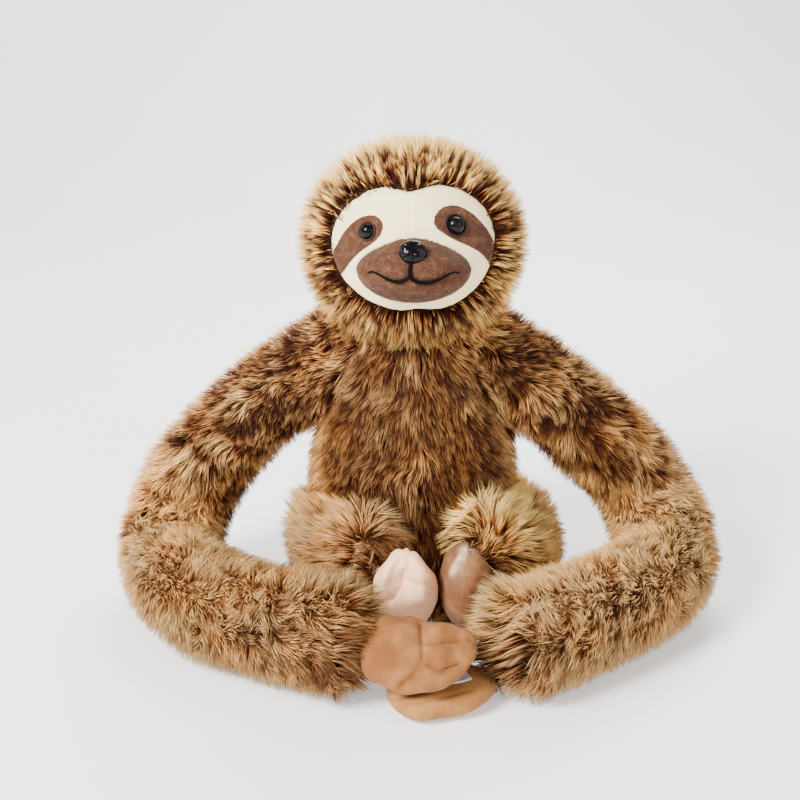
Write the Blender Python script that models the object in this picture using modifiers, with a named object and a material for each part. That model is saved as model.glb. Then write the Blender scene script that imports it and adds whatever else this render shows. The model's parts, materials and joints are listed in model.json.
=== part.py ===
"""A plush toy sloth that sits on its seat with two long arms laid in a ring and its hands joined in front.

Metres, +Z up. The toy faces -Y, and the origin is the middle of the seat, on the surface that it sits on.
"Left" and "right" are the toy's own. The furry solids reach to the tips of the pile, and neighbours keep
a thin gap.
"""

import math

import bmesh
import bpy
from mathutils import Matrix, Vector

# ---------------------------------------------------------------- driving dimensions
GAP = 0.0003  # clear space between two pieces that touch
CUFF_GAP = 0.0005  # the same round a mitten, whose creases bring the grown surface nearer

HEAD_CENTRE = Vector((-0.0005, -0.001, 0.2180))
HEAD_SIZE = Vector((0.0628, 0.0565, 0.0572))  # half width, half depth and half height, with the pile
FACE_CENTRE = Vector((0.0, -0.006, 0.2185))
FACE_SIZE = Vector((0.0525, 0.0545, 0.0480))  # the smooth dome under the face panel
FACE_MIDDLE = Vector((0.0, 0.0, 0.2220))  # the middle of the panel's outline
FACE_BACK = -0.018
FACE_FRONT = -0.100

MUZZLE_CENTRE = Vector((-0.0004, -0.0500, 0.2130))
MUZZLE_SIZE = Vector((0.0300, 0.0255, 0.0176))
MUZZLE_NARROWING = 0.30  # how much narrower the muzzle is at its top
MUZZLE_TAPER = 1.3  # how late on the way up the narrowing comes
MUZZLE_UNDERCUT = 0.10  # how far the chin stands back
NOSE_CENTRE = Vector((-0.0010, -0.0690, 0.2247))
NOSE_SIZE = Vector((0.0070, 0.0052, 0.0053))
NOSE_TILT = math.radians(-28)
EYE_RADIUS = 0.0042
EYE_FLATNESS = 0.72
EYE_RIGHT = Vector((-0.0252, 0.0, 0.2327))
EYE_LEFT = Vector((0.0214, 0.0, 0.2355))
PATCH_THICKNESS = 0.0010
PATCH_BACK = -0.028
THREAD_RADIUS = 0.00055
MOUTH_STEPS = 22
LIP_STEPS = 3
# Facets round and down each rounded form.
HEAD_FACETS = (30, 18)
FACE_FACETS = (32, 18)
MUZZLE_FACETS = (22, 12)
PLASTIC_FACETS = (14, 9)
MITTEN_FACETS = (20, 11)
OUTLINE_FACETS = 2  # edges between two points of an outline
WELD = 0.00001

TRUNK_DEPTH_SHARE = 0.80  # the trunk is an ellipse in plan
TRUNK_BACK = 0.004  # the head leans this far forward of the trunk
TRUNK_STEPS = 26
# Radius and height down the trunk's side, from the neck to the seat.
TRUNK_PROFILE = [
    (0.000, 0.196), (0.018, 0.194), (0.032, 0.186), (0.041, 0.172), (0.0465, 0.156), (0.0510, 0.138),
    (0.0560, 0.117), (0.0600, 0.095), (0.0615, 0.074), (0.0610, 0.052), (0.0575, 0.032), (0.0510, 0.016),
    (0.0430, 0.005), (0.0360, 0.000), (0.000, 0.000),
]

ARM_RADIUS_SHOULDER = 0.0275
ARM_RADIUS_WRIST = 0.0325
TUBE_SIDES = 5  # bevel resolution: four and twice this many sides
THREAD_SIDES = 1
ARM_STEPS = 24
ARM_CUFF = 0.955  # the share of the length at which a limb starts to close in
LEG_CUFF = 0.78
HIP_ROUNDING = 0.30  # the share of a leg over which its hidden end is rounded
CUFF_CLOSING = 0.66  # how much of its end's area a limb has closed at the cuff
HIP_CLOSING = 0.92
ELBOW_SHARE = 0.50  # where the upper arm ends, as a share of the arm's length
BLOCK_SIZE = 0.4
# The route down the middle of each arm, from inside the shoulder, round the elbow, to the wrist.
ARM_RIGHT = [
    (-0.020, 0.005, 0.167), (-0.050, 0.008, 0.150), (-0.076, 0.010, 0.131), (-0.098, 0.014, 0.111),
    (-0.118, 0.017, 0.089), (-0.1350, 0.018, 0.066), (-0.1445, 0.0055, 0.043), (-0.1450, -0.0190, 0.031),
    (-0.134, -0.0445, 0.0305), (-0.112, -0.069, 0.0315), (-0.089, -0.088, 0.0315), (-0.064, -0.102, 0.0315),
    (-0.040, -0.1130, 0.0325), (-0.0190, -0.121, 0.034),
]
ARM_LEFT = [
    (0.021, 0.005, 0.167), (0.052, 0.004, 0.150), (0.077, 0.003, 0.130), (0.101, 0.008, 0.110),
    (0.121, 0.015, 0.090), (0.1380, 0.0195, 0.068), (0.1500, 0.0110, 0.0470), (0.1530, -0.0120, 0.0330),
    (0.1440, -0.0370, 0.0305), (0.124, -0.0610, 0.0315), (0.099, -0.0825, 0.0315), (0.0755, -0.1010, 0.0315),
    (0.0555, -0.1145, 0.0315), (0.0420, -0.1235, 0.031),
]

LEG_RADIUS_HIP = 0.0415
LEG_RADIUS_ANKLE = 0.0370
LEG_STEPS = 14
LEG_RIGHT = [
    (-0.010, 0.030, 0.0395), (-0.0320, 0.023, 0.0392), (-0.0395, -0.006, 0.0385), (-0.028, -0.035, 0.0375),
    (-0.006, -0.054, 0.0370),
]
LEG_LEFT = [
    (0.012, 0.032, 0.0365), (0.0425, 0.025, 0.0365), (0.0540, -0.004, 0.0370), (0.045, -0.034, 0.0370),
    (0.025, -0.054, 0.0370),
]

FOOT_SIZE = Vector((0.0178, 0.0118, 0.0245))  # half width, half thickness and half length of a mitten
HAND_SIZE = Vector((0.0200, 0.0080, 0.0290))
TAPE_SIZE = Vector((0.0180, 0.0065, 0.0009))  # half sizes of a strip of touch tape
TAPE_LOWER = Vector((0.0125, -0.1310, 0.0166))
TAPE_TURN = math.radians(21)
# A mitten's form, as shares of its half sizes.
STITCH_AT = 0.36
STITCH_WIDTH = 0.14
STITCH_DEPTH = 0.30
STITCH_NOTCH = 0.08
STITCH_START = -0.10
STITCH_FADE = 0.70
SQUARENESS = 0.80
TIP_POWER = 3.0  # a higher one gives blunter tips
TIP_ROOT = 2.4
WRIST_WIDTH = 0.74
WRIST_LENGTH = 0.90
POLE = 1e-6

GOLD_PILE = (0.52, 0.34, 0.18, 1.0)
CREAM_VELOUR = (0.86, 0.82, 0.74, 1.0)
BROWN_VELOUR = (0.28, 0.15, 0.10, 1.0)
TAN_VELOUR = (0.75, 0.50, 0.35, 1.0)
BLACK_PLASTIC = (0.01, 0.01, 0.012, 1.0)
TAPE_WHITE = (0.80, 0.78, 0.80, 1.0)


# ---------------------------------------------------------------- scene and helpers
def clear_scene():
    for obj in list(bpy.data.objects):
        bpy.data.objects.remove(obj, do_unlink=True)


def new_collection(name):
    collection = bpy.data.collections.new(name)
    bpy.context.scene.collection.children.link(collection)
    return collection


def new_material(name, colour, roughness, metallic=0.0):
    material = bpy.data.materials.new(name)
    material.use_nodes = True
    shader = material.node_tree.nodes["Principled BSDF"]
    shader.inputs["Base Color"].default_value = colour
    shader.inputs["Roughness"].default_value = roughness
    shader.inputs["Metallic"].default_value = metallic
    return material


def object_from_bmesh(name, shape, collection, material=None):
    """Turns a finished bmesh into a smooth-shaded object."""
    mesh = bpy.data.meshes.new(name)
    shape.to_mesh(mesh)
    shape.free()
    mesh.shade_smooth()
    obj = bpy.data.objects.new(name, mesh)
    collection.objects.link(obj)
    if material:
        mesh.materials.append(material)
    return obj


def ellipsoid(name, centre, size, collection, material, facets, shaping=None, tilt=0.0):
    """A UV sphere with its poles up, shaped by a function of the unit sphere, then scaled."""
    shape = bmesh.new()
    bmesh.ops.create_uvsphere(shape, u_segments=facets[0], v_segments=facets[1], radius=1.0)
    turn = Matrix.Rotation(tilt, 3, "X")
    for vertex in shape.verts:
        point = shaping(vertex.co) if shaping else vertex.co
        vertex.co = centre + turn @ Vector(a * b for a, b in zip(point, size))
    return object_from_bmesh(name, shape, collection, material)


def mesh_from_curve(curve_object, collection):
    """Replaces a curve object with its own closed mesh, its caps welded to its sides."""
    graph = bpy.context.evaluated_depsgraph_get()
    mesh = bpy.data.meshes.new_from_object(curve_object.evaluated_get(graph))
    shape = bmesh.new()
    shape.from_mesh(mesh)
    bmesh.ops.remove_doubles(shape, verts=shape.verts, dist=WELD)
    bmesh.ops.recalc_face_normals(shape, faces=shape.faces)
    shape.to_mesh(mesh)
    shape.free()
    mesh.shade_smooth()
    made = bpy.data.objects.new(curve_object.name + "_mesh", mesh)
    made.matrix_world = curve_object.matrix_world
    collection.objects.link(made)
    name = curve_object.name
    bpy.data.objects.remove(curve_object, do_unlink=True)
    made.name = name
    return made


def neighbours(points, index):
    """The two points at each side of a span, with the ends repeated past the list."""
    return [Vector(points[min(max(index + step, 0), len(points) - 1)]) for step in (-1, 0, 1, 2)]


def smooth_point(points, share):
    """A point on the Catmull-Rom curve through the points, at a share of the way along them."""
    at = min(max(share, 0.0), 1.0) * (len(points) - 1)
    index = min(int(at), len(points) - 2)
    t = at - index
    before, start, end, after = neighbours(points, index)
    return 0.5 * (
        2 * start
        + (end - before) * t
        + (2 * before - 5 * start + 4 * end - after) * t * t
        + (3 * start - before - 3 * end + after) * t**3
    )


def eased_point(points, share):
    """A point on the uniform B-spline of the points, which rounds off their corners."""
    at = min(max(share, 0.0), 1.0) * (len(points) - 1)
    index = min(int(at), len(points) - 2)
    t = at - index
    before, start, end, after = neighbours(points, index)
    return (
        (1 - t) ** 3 * before
        + (3 * t**3 - 6 * t * t + 4) * start
        + (-3 * t**3 + 3 * t * t + 3 * t + 1) * end
        + t**3 * after
    ) / 6


def tube(name, points, radii, collection, material=None, sides=TUBE_SIDES):
    """A closed tube through the points, with its own radius at each."""
    data = bpy.data.curves.new(name, "CURVE")
    data.dimensions = "3D"
    data.bevel_depth = 1.0
    data.bevel_resolution = sides
    data.use_fill_caps = True
    spline = data.splines.new("POLY")
    spline.points.add(len(points) - 1)
    for target, point, radius in zip(spline.points, points, radii):
        target.co = (*point, 1.0)
        target.radius = radius
    obj = bpy.data.objects.new(name, data)
    collection.objects.link(obj)
    bpy.context.view_layer.update()
    made = mesh_from_curve(obj, collection)
    if material:
        made.data.materials.append(material)
    return made


def cutter_of(obj, grow=GAP):
    """A copy of a shape, grown by a little, that later cuts its neighbours."""
    copy = bpy.data.objects.new("cutter_" + obj.name, obj.data.copy())
    cutters.objects.link(copy)
    as_cutter(copy)
    swell = copy.modifiers.new("swell", "DISPLACE")
    swell.mid_level = 0.0
    swell.strength = grow
    return copy


def as_cutter(obj):
    obj.hide_render = True
    obj.display_type = "WIRE"
    return obj


def boolean(obj, other, operation="DIFFERENCE", folded=False):
    """Adds a Boolean, which for a folded shape also sorts out the faces that cross in a tight bend."""
    cut = obj.modifiers.new(operation.lower(), "BOOLEAN")
    cut.operation = operation
    cut.object = other
    cut.use_self = folded
    return obj


def block(name, low, high, collection, material=None):
    """A box between two corners."""
    shape = bmesh.new()
    bmesh.ops.create_cube(shape, size=1.0)
    low = Vector(low)
    high = Vector(high)
    for vertex in shape.verts:
        vertex.co = (low + high) / 2 + Vector(a * b for a, b in zip(vertex.co, high - low))
    obj = object_from_bmesh(name, shape, collection, material)
    obj.data.shade_flat()
    return obj


def frame_matrix(centre, along, facing):
    """A matrix whose Z runs along one direction and whose Y looks the other way from facing."""
    z = Vector(along).normalized()
    y = (-Vector(facing) + Vector(facing).dot(z) * z).normalized()
    x = y.cross(z)
    turn = Matrix((x, y, z)).transposed()
    return Matrix.Translation(Vector(centre)) @ turn.to_4x4()


# ---------------------------------------------------------------- head and face
# The face panel's outline as offsets from its middle: a heart of two lobes with a soft chin.
FACE_OUTLINE = [
    (-0.0035, 0.0288), (-0.0149, 0.0312), (-0.0317, 0.0243), (-0.0414, 0.0125), (-0.0436, 0.0015),
    (-0.0408, -0.0111), (-0.0303, -0.0232), (-0.0187, -0.0293), (-0.0065, -0.0318), (0.0010, -0.0303),
    (0.0141, -0.0310), (0.0268, -0.0255), (0.0365, -0.0160), (0.0418, -0.0010), (0.0405, 0.0126),
    (0.0323, 0.0242), (0.0137, 0.0321), (0.0048, 0.0307),
]
# The brown eye patches: a round inner end by the nose, and a tail that runs out and down past the panel.
PATCH_RIGHT = [
    (-0.0165, 0.0132), (-0.0187, 0.0175), (-0.0235, 0.0182), (-0.0300, 0.0155), (-0.0365, 0.0090),
    (-0.0405, 0.0020), (-0.0440, -0.0060), (-0.0415, -0.0165), (-0.0385, -0.0135), (-0.0345, -0.0072),
    (-0.0285, 0.0000), (-0.0205, 0.0064),
]
PATCH_LEFT = [
    (0.0098, 0.0152), (0.0122, 0.0210), (0.0185, 0.0232), (0.0265, 0.0208), (0.0345, 0.0140),
    (0.0403, 0.0060), (0.0440, -0.0040), (0.0425, -0.0130), (0.0390, -0.0070), (0.0330, -0.0002),
    (0.0217, 0.0062), (0.0140, 0.0108),
]


def outline_prism(name, outline, grow=0.0, front=FACE_FRONT, back=FACE_BACK):
    """A smooth closed outline in X and Z, made a prism along Y."""
    data = bpy.data.curves.new(name, "CURVE")
    data.dimensions = "2D"
    data.fill_mode = "BOTH"
    data.extrude = (back - front) / 2
    data.offset = grow
    data.resolution_u = OUTLINE_FACETS
    spline = data.splines.new("BEZIER")
    spline.bezier_points.add(len(outline) - 1)
    for target, (x, z) in zip(spline.bezier_points, outline):
        target.co = (x, z, 0.0)
        target.handle_left_type = target.handle_right_type = "AUTO"
    spline.use_cyclic_u = True
    obj = bpy.data.objects.new(name, data)
    cutters.objects.link(obj)
    bpy.context.view_layer.update()
    prism = mesh_from_curve(obj, cutters)
    place = Matrix.Translation((FACE_MIDDLE.x, (front + back) / 2, FACE_MIDDLE.z))
    prism.data.transform(place @ Matrix.Rotation(math.pi / 2, 4, "X"))
    return as_cutter(prism)


def dome_depth(x, z, extra=0.0):
    """The Y of the face dome's front surface above a point in X and Z."""
    size = FACE_SIZE + Vector((extra, extra, extra))
    across = ((x - FACE_CENTRE.x) / size.x) ** 2 + ((z - FACE_CENTRE.z) / size.z) ** 2
    return FACE_CENTRE.y - size.y * math.sqrt(max(0.0, 1.0 - across))


def muzzle_shares(up):
    """The shares of the muzzle's width and depth at a height, from -1 at its chin to 1 at its top."""
    return 1.0 - MUZZLE_NARROWING * max(0.0, up) ** MUZZLE_TAPER, 1.0 - MUZZLE_UNDERCUT * max(0.0, -up)


def muzzle_shape(point):
    """The unit sphere made an egg: narrower at the top and fuller under the mouth."""
    width, depth = muzzle_shares(point.z)
    return Vector((point.x * width, point.y * depth, point.z))


def muzzle_depth(x, z):
    """The Y of the muzzle's front surface above a point in X and Z."""
    up = (z - MUZZLE_CENTRE.z) / MUZZLE_SIZE.z
    width, depth = (size * share for size, share in zip(MUZZLE_SIZE.xy, muzzle_shares(up)))
    across = ((x - MUZZLE_CENTRE.x) / width) ** 2 + up**2
    return MUZZLE_CENTRE.y - depth * math.sqrt(max(0.0, 1.0 - across))


# The stitched mouth in X and Z, from its right corner to its left one, and the line up to the nose.
MOUTH_LINE = [
    (-0.0243, 0.2134), (-0.0217, 0.2148), (-0.0175, 0.2134), (-0.0135, 0.2114), (-0.0092, 0.2105),
    (-0.0055, 0.2112), (-0.0027, 0.2135), (-0.0002, 0.2112), (0.0040, 0.2101), (0.0085, 0.2102),
    (0.0130, 0.2118), (0.0175, 0.2140), (0.0205, 0.2145), (0.0230, 0.2134),
]
LIP_LINE = [(-0.0022, 0.2212), (-0.0026, 0.2170), (-0.0027, 0.2132)]


def stitched_line(name, line, steps, collection, material=None):
    """A thread of constant thickness that follows the muzzle's surface."""
    flat = [smooth_point([(x, 0.0, z) for x, z in line], k / steps) for k in range(steps + 1)]
    points = [Vector((p.x, muzzle_depth(p.x, p.z), p.z)) for p in flat]
    return tube(name, points, [THREAD_RADIUS] * len(points), collection, material, THREAD_SIDES)


def build_muzzle(dome):
    """The stuffed muzzle, with the nose sunk in it and the mouth stitched in a groove."""
    muzzle = ellipsoid("muzzle", MUZZLE_CENTRE, MUZZLE_SIZE, toy, brown, MUZZLE_FACETS, muzzle_shape)
    whole = cutter_of(muzzle)
    nose = ellipsoid("nose", NOSE_CENTRE, NOSE_SIZE, toy, plastic, PLASTIC_FACETS, tilt=NOSE_TILT)
    mouth = stitched_line("mouth_thread", MOUTH_LINE, MOUTH_STEPS, toy, thread)
    lip = as_cutter(stitched_line("lip_thread", LIP_LINE, LIP_STEPS, cutters))
    nose_cutter = cutter_of(nose)
    for tool in (nose_cutter, cutter_of(mouth), cutter_of(lip)):
        boolean(muzzle, tool)
    boolean(mouth, lip, "UNION")
    boolean(mouth, nose_cutter)
    boolean(dome, whole)
    return whole


def build_eye(side, outline, place, dome, panel_edge, muzzle_cutter):
    """A safety eye sunk through its velour patch, which lies on the face dome."""
    centre = Vector((place.x, dome_depth(place.x, place.z), place.z))
    size = Vector((EYE_RADIUS, EYE_RADIUS * EYE_FLATNESS, EYE_RADIUS))
    eye = ellipsoid(f"eye_{side}", centre, size, toy, plastic, PLASTIC_FACETS)
    eye_cutter = cutter_of(eye)
    patch = face_dome(f"eye_patch_{side}", toy, brown, PATCH_THICKNESS)
    boolean(patch, outline_prism(f"patch_{side}_edge", outline, back=PATCH_BACK), "INTERSECT")
    boolean(patch, panel_edge, "INTERSECT")
    for tool in (as_cutter(face_dome("face_skin", cutters, None, GAP)), muzzle_cutter, eye_cutter):
        boolean(patch, tool)
    boolean(dome, eye_cutter)


def face_dome(name, collection, material, thicker=0.0):
    """The whole dome that the face's pieces are cut from."""
    size = FACE_SIZE + Vector((thicker,) * 3)
    return ellipsoid(name, FACE_CENTRE, size, collection, material, FACE_FACETS)


def build_head():
    """The furry head with a pocket for the face, and everything on the face."""
    head = ellipsoid("head", HEAD_CENTRE, HEAD_SIZE, toy, pile, HEAD_FACETS)
    whole = cutter_of(head)
    boolean(head, outline_prism("face_pocket", FACE_OUTLINE, grow=GAP, back=FACE_BACK + GAP))
    panel_edge = outline_prism("face_edge", FACE_OUTLINE)
    dome = face_dome("face_panel", toy, cream)
    boolean(dome, panel_edge, "INTERSECT")
    muzzle_cutter = build_muzzle(dome)
    for side, outline, place in (("right", PATCH_RIGHT, EYE_RIGHT), ("left", PATCH_LEFT, EYE_LEFT)):
        build_eye(side, outline, place, dome, panel_edge, muzzle_cutter)
    return whole


# ---------------------------------------------------------------- trunk, arms and legs
def build_trunk(head_cutter):
    """The pear-shaped trunk, turned from its profile, with a hollow on top where the head sits."""
    shape = bmesh.new()
    verts = [shape.verts.new((radius, 0.0, height)) for radius, height in TRUNK_PROFILE]
    for start, end in zip(verts, verts[1:]):
        shape.edges.new((start, end))
    trunk = object_from_bmesh("trunk", shape, toy, pile)
    turn = trunk.modifiers.new("turn", "SCREW")
    turn.steps = TRUNK_STEPS
    turn.render_steps = TRUNK_STEPS
    turn.use_merge_vertices = True
    turn.merge_threshold = WELD
    turn.use_smooth_shade = True
    bpy.context.view_layer.update()
    graph = bpy.context.evaluated_depsgraph_get()
    turned = bpy.data.meshes.new_from_object(trunk.evaluated_get(graph))
    trunk.modifiers.clear()
    place = Matrix.Translation((0.0, TRUNK_BACK, 0.0))
    turned.transform(place @ Matrix.Diagonal((1.0, TRUNK_DEPTH_SHARE, 1.0, 1.0)))
    trunk.data = turned
    whole = cutter_of(trunk)
    boolean(trunk, head_cutter)
    return whole


def arm_radius(share):
    """The arm's radius along its length: it swells down to the elbow and closes in at the cuff."""
    radius = ARM_RADIUS_SHOULDER + (ARM_RADIUS_WRIST - ARM_RADIUS_SHOULDER) * min(1.0, share / ELBOW_SHARE)
    closing = max(0.0, (share - ARM_CUFF) / (1.0 - ARM_CUFF))
    return radius * math.sqrt(1.0 - CUFF_CLOSING * closing**2)


def leg_radius(share):
    """The leg's radius along its length: it thins from the round hip and closes in at the cuff."""
    radius = LEG_RADIUS_HIP + (LEG_RADIUS_ANKLE - LEG_RADIUS_HIP) * share
    closing = max(0.0, (share - LEG_CUFF) / (1.0 - LEG_CUFF))
    opening = max(0.0, 1.0 - share / HIP_ROUNDING)
    return radius * math.sqrt(1.0 - CUFF_CLOSING * closing**2 - HIP_CLOSING * opening**2)


def limb(name, route, radius_at, steps, collection):
    """A furry tube along a route."""
    shares = [k / steps for k in range(steps + 1)]
    points = [eased_point(route, share) for share in shares]
    return tube(name, points, [radius_at(share) for share in shares], collection, pile)


def half_space(name, point, facing):
    """A large block whose near face passes through a point."""
    side = Vector((1.0, 0.0, 0.0))
    beyond = block(name, (-BLOCK_SIZE, -BLOCK_SIZE, 0.0), (BLOCK_SIZE, BLOCK_SIZE, BLOCK_SIZE), cutters)
    beyond.data.transform(frame_matrix(point, facing, side))
    return as_cutter(beyond)


def build_arm(side, route, trunk_cutter, head_cutter, floor):
    """One arm, parted by a thin cut across the elbow."""
    whole = as_cutter(limb(f"whole_arm_{side}", route, arm_radius, ARM_STEPS, cutters))
    elbow = eased_point(route, ELBOW_SHARE)
    onward = (eased_point(route, ELBOW_SHARE + 0.01) - elbow).normalized()
    upper = bpy.data.objects.new(f"upper_arm_{side}", whole.data)
    fore = bpy.data.objects.new(f"forearm_{side}", whole.data)
    for piece in (upper, fore):
        toy.objects.link(piece)
        boolean(piece, floor)
    boolean(upper, half_space("below_elbow", elbow - GAP * onward, onward))
    boolean(fore, half_space("above_elbow", elbow, -onward))
    boolean(upper, trunk_cutter)
    boolean(upper, head_cutter)
    return fore


def build_leg(side, route, trunk_cutter, floor):
    """One short leg, which leaves the trunk sideways and turns in to the foot."""
    leg = limb(f"leg_{side}", route, leg_radius, LEG_STEPS, toy)
    boolean(leg, trunk_cutter, folded=True)
    boolean(leg, floor)
    return leg


# ---------------------------------------------------------------- hands and feet
def mitten_shape(point):
    """The unit sphere made a flat mitten along Z: a squared palm, and three stitched fingers at the top."""
    x, y, z = point
    across = math.hypot(x, y)
    if across < POLE:
        return Vector((0.0, 0.0, z))
    u, v = x / across, y / across
    girth = (1.0 - abs(z) ** TIP_POWER) ** (1.0 / TIP_ROOT)
    palm = WRIST_WIDTH + (1.0 - WRIST_WIDTH) * min(1.0, (z + 1.0) / WRIST_LENGTH)
    reach = min(1.0, max(0.0, (z - STITCH_START) / STITCH_FADE))
    groove = math.exp(-(((abs(u) - STITCH_AT) / STITCH_WIDTH) ** 2)) * reach
    wide = math.copysign(abs(u) ** SQUARENESS, u) * girth * palm
    thick = math.copysign(abs(v) ** SQUARENESS, v) * girth * (1.0 - STITCH_DEPTH * groove)
    return Vector((wide, thick, z * (1.0 - STITCH_NOTCH * groove * max(0.0, z))))


def build_mitten(name, size, place, cuff, tools):
    """A hand or foot, sunk in the end of its limb and cut by what it rests against."""
    mitten = ellipsoid(name, Vector((0.0, 0.0, 0.0)), size, toy, tan, MITTEN_FACETS, mitten_shape)
    mitten.data.transform(place)
    boolean(cuff, cutter_of(mitten, CUFF_GAP))
    for tool in tools:
        boolean(mitten, tool)
    return mitten


def build_tape(name, place, hand):
    """A strip of touch tape let into a hand."""
    tape = block(name, -TAPE_SIZE, TAPE_SIZE, toy, tape_white)
    tape.data.transform(place)
    boolean(hand, cutter_of(tape))
    return tape


# Where each mitten lies: its middle, the way its fingers point, and the way its upper side looks.
HAND_RIGHT = frame_matrix((0.0020, -0.1300, 0.0340), (1.0, -0.02, 0.06), (0.0, -0.50, 0.866))
HAND_LEFT = frame_matrix((0.0140, -0.1250, 0.0082), (-0.92, -0.36, 0.0), (0.0, 0.0, 1.0))
FOOT_RIGHT = frame_matrix((-0.0048, -0.0650, 0.0345), (0.02, -0.22, 1.0), (-0.10, -1.0, 0.25))
FOOT_LEFT = frame_matrix((0.0285, -0.0665, 0.0385), (0.02, -0.18, 1.0), (-1.60, -1.0, 0.25))


# ---------------------------------------------------------------- the whole toy
clear_scene()
toy = new_collection("plush_sloth")
cutters = new_collection("cutters")
pile = new_material("gold_pile", GOLD_PILE, 0.95)
cream = new_material("cream_velour", CREAM_VELOUR, 0.9)
brown = new_material("brown_velour", BROWN_VELOUR, 0.9)
tan = new_material("tan_velour", TAN_VELOUR, 0.85)
plastic = new_material("black_plastic", BLACK_PLASTIC, 0.15)
thread = new_material("black_thread", BLACK_PLASTIC, 0.8)
tape_white = new_material("touch_tape", TAPE_WHITE, 0.8)

floor_cutter = as_cutter(block("floor", (-BLOCK_SIZE,) * 3, (BLOCK_SIZE, BLOCK_SIZE, 0.0), cutters))
head_form = build_head()
trunk_form = build_trunk(head_form)
arm_right = build_arm("right", ARM_RIGHT, trunk_form, head_form, floor_cutter)
arm_left = build_arm("left", ARM_LEFT, trunk_form, head_form, floor_cutter)
leg_right = build_leg("right", LEG_RIGHT, trunk_form, floor_cutter)
leg_left = build_leg("left", LEG_LEFT, trunk_form, floor_cutter)
build_mitten("hand_right", HAND_SIZE, HAND_RIGHT, arm_right, ())
hand_left = build_mitten("hand_left", HAND_SIZE, HAND_LEFT, arm_left, (floor_cutter,))
build_mitten("foot_right", FOOT_SIZE, FOOT_RIGHT, leg_right, (trunk_form,))
build_mitten("foot_left", FOOT_SIZE, FOOT_LEFT, leg_left, (trunk_form,))
build_tape("tape_hook", Matrix.Translation(TAPE_LOWER) @ Matrix.Rotation(TAPE_TURN, 4, "Z"), hand_left)
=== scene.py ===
"""Looks of a seated plush sloth: a pile of solid tufts over one skin, a velour face, and plastic eyes and nose."""

import json
import logging
import math
from dataclasses import dataclass, replace
from enum import Enum
from typing import Any, Sequence

import bmesh
import bpy
import numpy as np
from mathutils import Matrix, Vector
from mathutils.bvhtree import BVHTree
from mathutils.kdtree import KDTree

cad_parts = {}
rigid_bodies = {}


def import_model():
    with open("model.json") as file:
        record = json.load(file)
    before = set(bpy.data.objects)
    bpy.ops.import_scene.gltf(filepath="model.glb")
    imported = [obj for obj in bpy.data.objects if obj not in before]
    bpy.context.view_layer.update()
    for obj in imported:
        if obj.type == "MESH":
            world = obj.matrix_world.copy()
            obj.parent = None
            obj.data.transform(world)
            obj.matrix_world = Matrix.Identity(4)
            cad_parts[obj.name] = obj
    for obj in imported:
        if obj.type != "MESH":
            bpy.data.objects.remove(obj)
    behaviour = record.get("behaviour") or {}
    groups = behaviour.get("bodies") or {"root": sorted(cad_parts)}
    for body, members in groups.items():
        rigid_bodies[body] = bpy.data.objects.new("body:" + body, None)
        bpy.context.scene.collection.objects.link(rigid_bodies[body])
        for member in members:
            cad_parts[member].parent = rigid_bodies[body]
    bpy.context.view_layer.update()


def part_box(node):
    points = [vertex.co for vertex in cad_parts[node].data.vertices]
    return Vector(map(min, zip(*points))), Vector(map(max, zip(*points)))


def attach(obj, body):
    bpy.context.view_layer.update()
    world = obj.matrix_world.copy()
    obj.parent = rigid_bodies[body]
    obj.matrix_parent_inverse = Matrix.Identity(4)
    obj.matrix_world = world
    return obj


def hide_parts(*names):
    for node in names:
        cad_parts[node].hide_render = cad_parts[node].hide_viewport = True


Array = np.ndarray
Object = bpy.types.Object
Material = bpy.types.Material
Mesh = bpy.types.Mesh
Socket = bpy.types.NodeSocket
Place = tuple[float, float, float]
Colour = tuple[float, float, float]

LOG = logging.getLogger("plush_sloth")
SEED = 41
DRAWN_IN = -0.0015  # how far the slim solids of a merged copy are drawn in
ABOVE_FLOOR = 0.0002  # the lowest that cloth reaches
BLACK, WHITE = (0.0, 0.0, 0.0), (1.0, 1.0, 1.0)
SIDES = ("right", "left")


class Slot(Enum):
    """The record's material slots."""

    FUR = "fur_pile"
    CREAM = "cream_velour"
    BROWN = "brown_velour"
    TAN = "tan_velour"
    FOOT = "foot_velour"
    PLASTIC = "black_plastic"
    THREAD = "black_thread"
    TAPE = "touch_tape"


# ---------------------------------------------------------------- mesh tools
def deselect() -> None:
    """Clears the selection, which the loaded frame leaves full."""
    for obj in bpy.context.selected_objects:
        obj.select_set(False)


def activate(obj: Object) -> None:
    """Selects one object alone and makes it active."""
    deselect()
    obj.select_set(True)
    bpy.context.view_layer.objects.active = obj


def apply_modifier(obj: Object, kind: str, **settings: Any) -> None:
    """Adds a modifier and applies it.

    Args:
        obj: the piece to change.
        kind: Blender's name of the modifier's type.
        settings: its properties.
    """
    activate(obj)
    modifier = obj.modifiers.new(kind.lower(), kind)
    for name, value in settings.items():
        setattr(modifier, name, value)
    bpy.ops.object.modifier_apply(modifier=modifier.name)


def gathered(items: Any, key: str, width: int, kind: type = np.float32) -> Array:
    """One property of all of a mesh's items, in rows of a given width."""
    flat = np.empty(len(items) * width, kind)
    items.foreach_get(key, flat)
    return flat.reshape(-1, width)


def points_of(mesh: Mesh) -> Array:
    """The vertices of a mesh as an array of rows."""
    return gathered(mesh.vertices, "co", 3).astype(np.float64)


def normals_of(mesh: Mesh) -> Array:
    """The vertex normals of a mesh as an array of rows."""
    return gathered(mesh.vertex_normals, "vector", 3).astype(np.float64)


def triangles_of(mesh: Mesh) -> Array:
    """The triangles of a mesh as rows of three vertex numbers."""
    mesh.calc_loop_triangles()
    return gathered(mesh.loop_triangles, "vertices", 3, np.int32)


def move_points(mesh: Mesh, points: Array) -> None:
    """Writes new places for the vertices of a mesh."""
    mesh.vertices.foreach_set("co", points.astype(np.float32).ravel())
    mesh.update()


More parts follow.
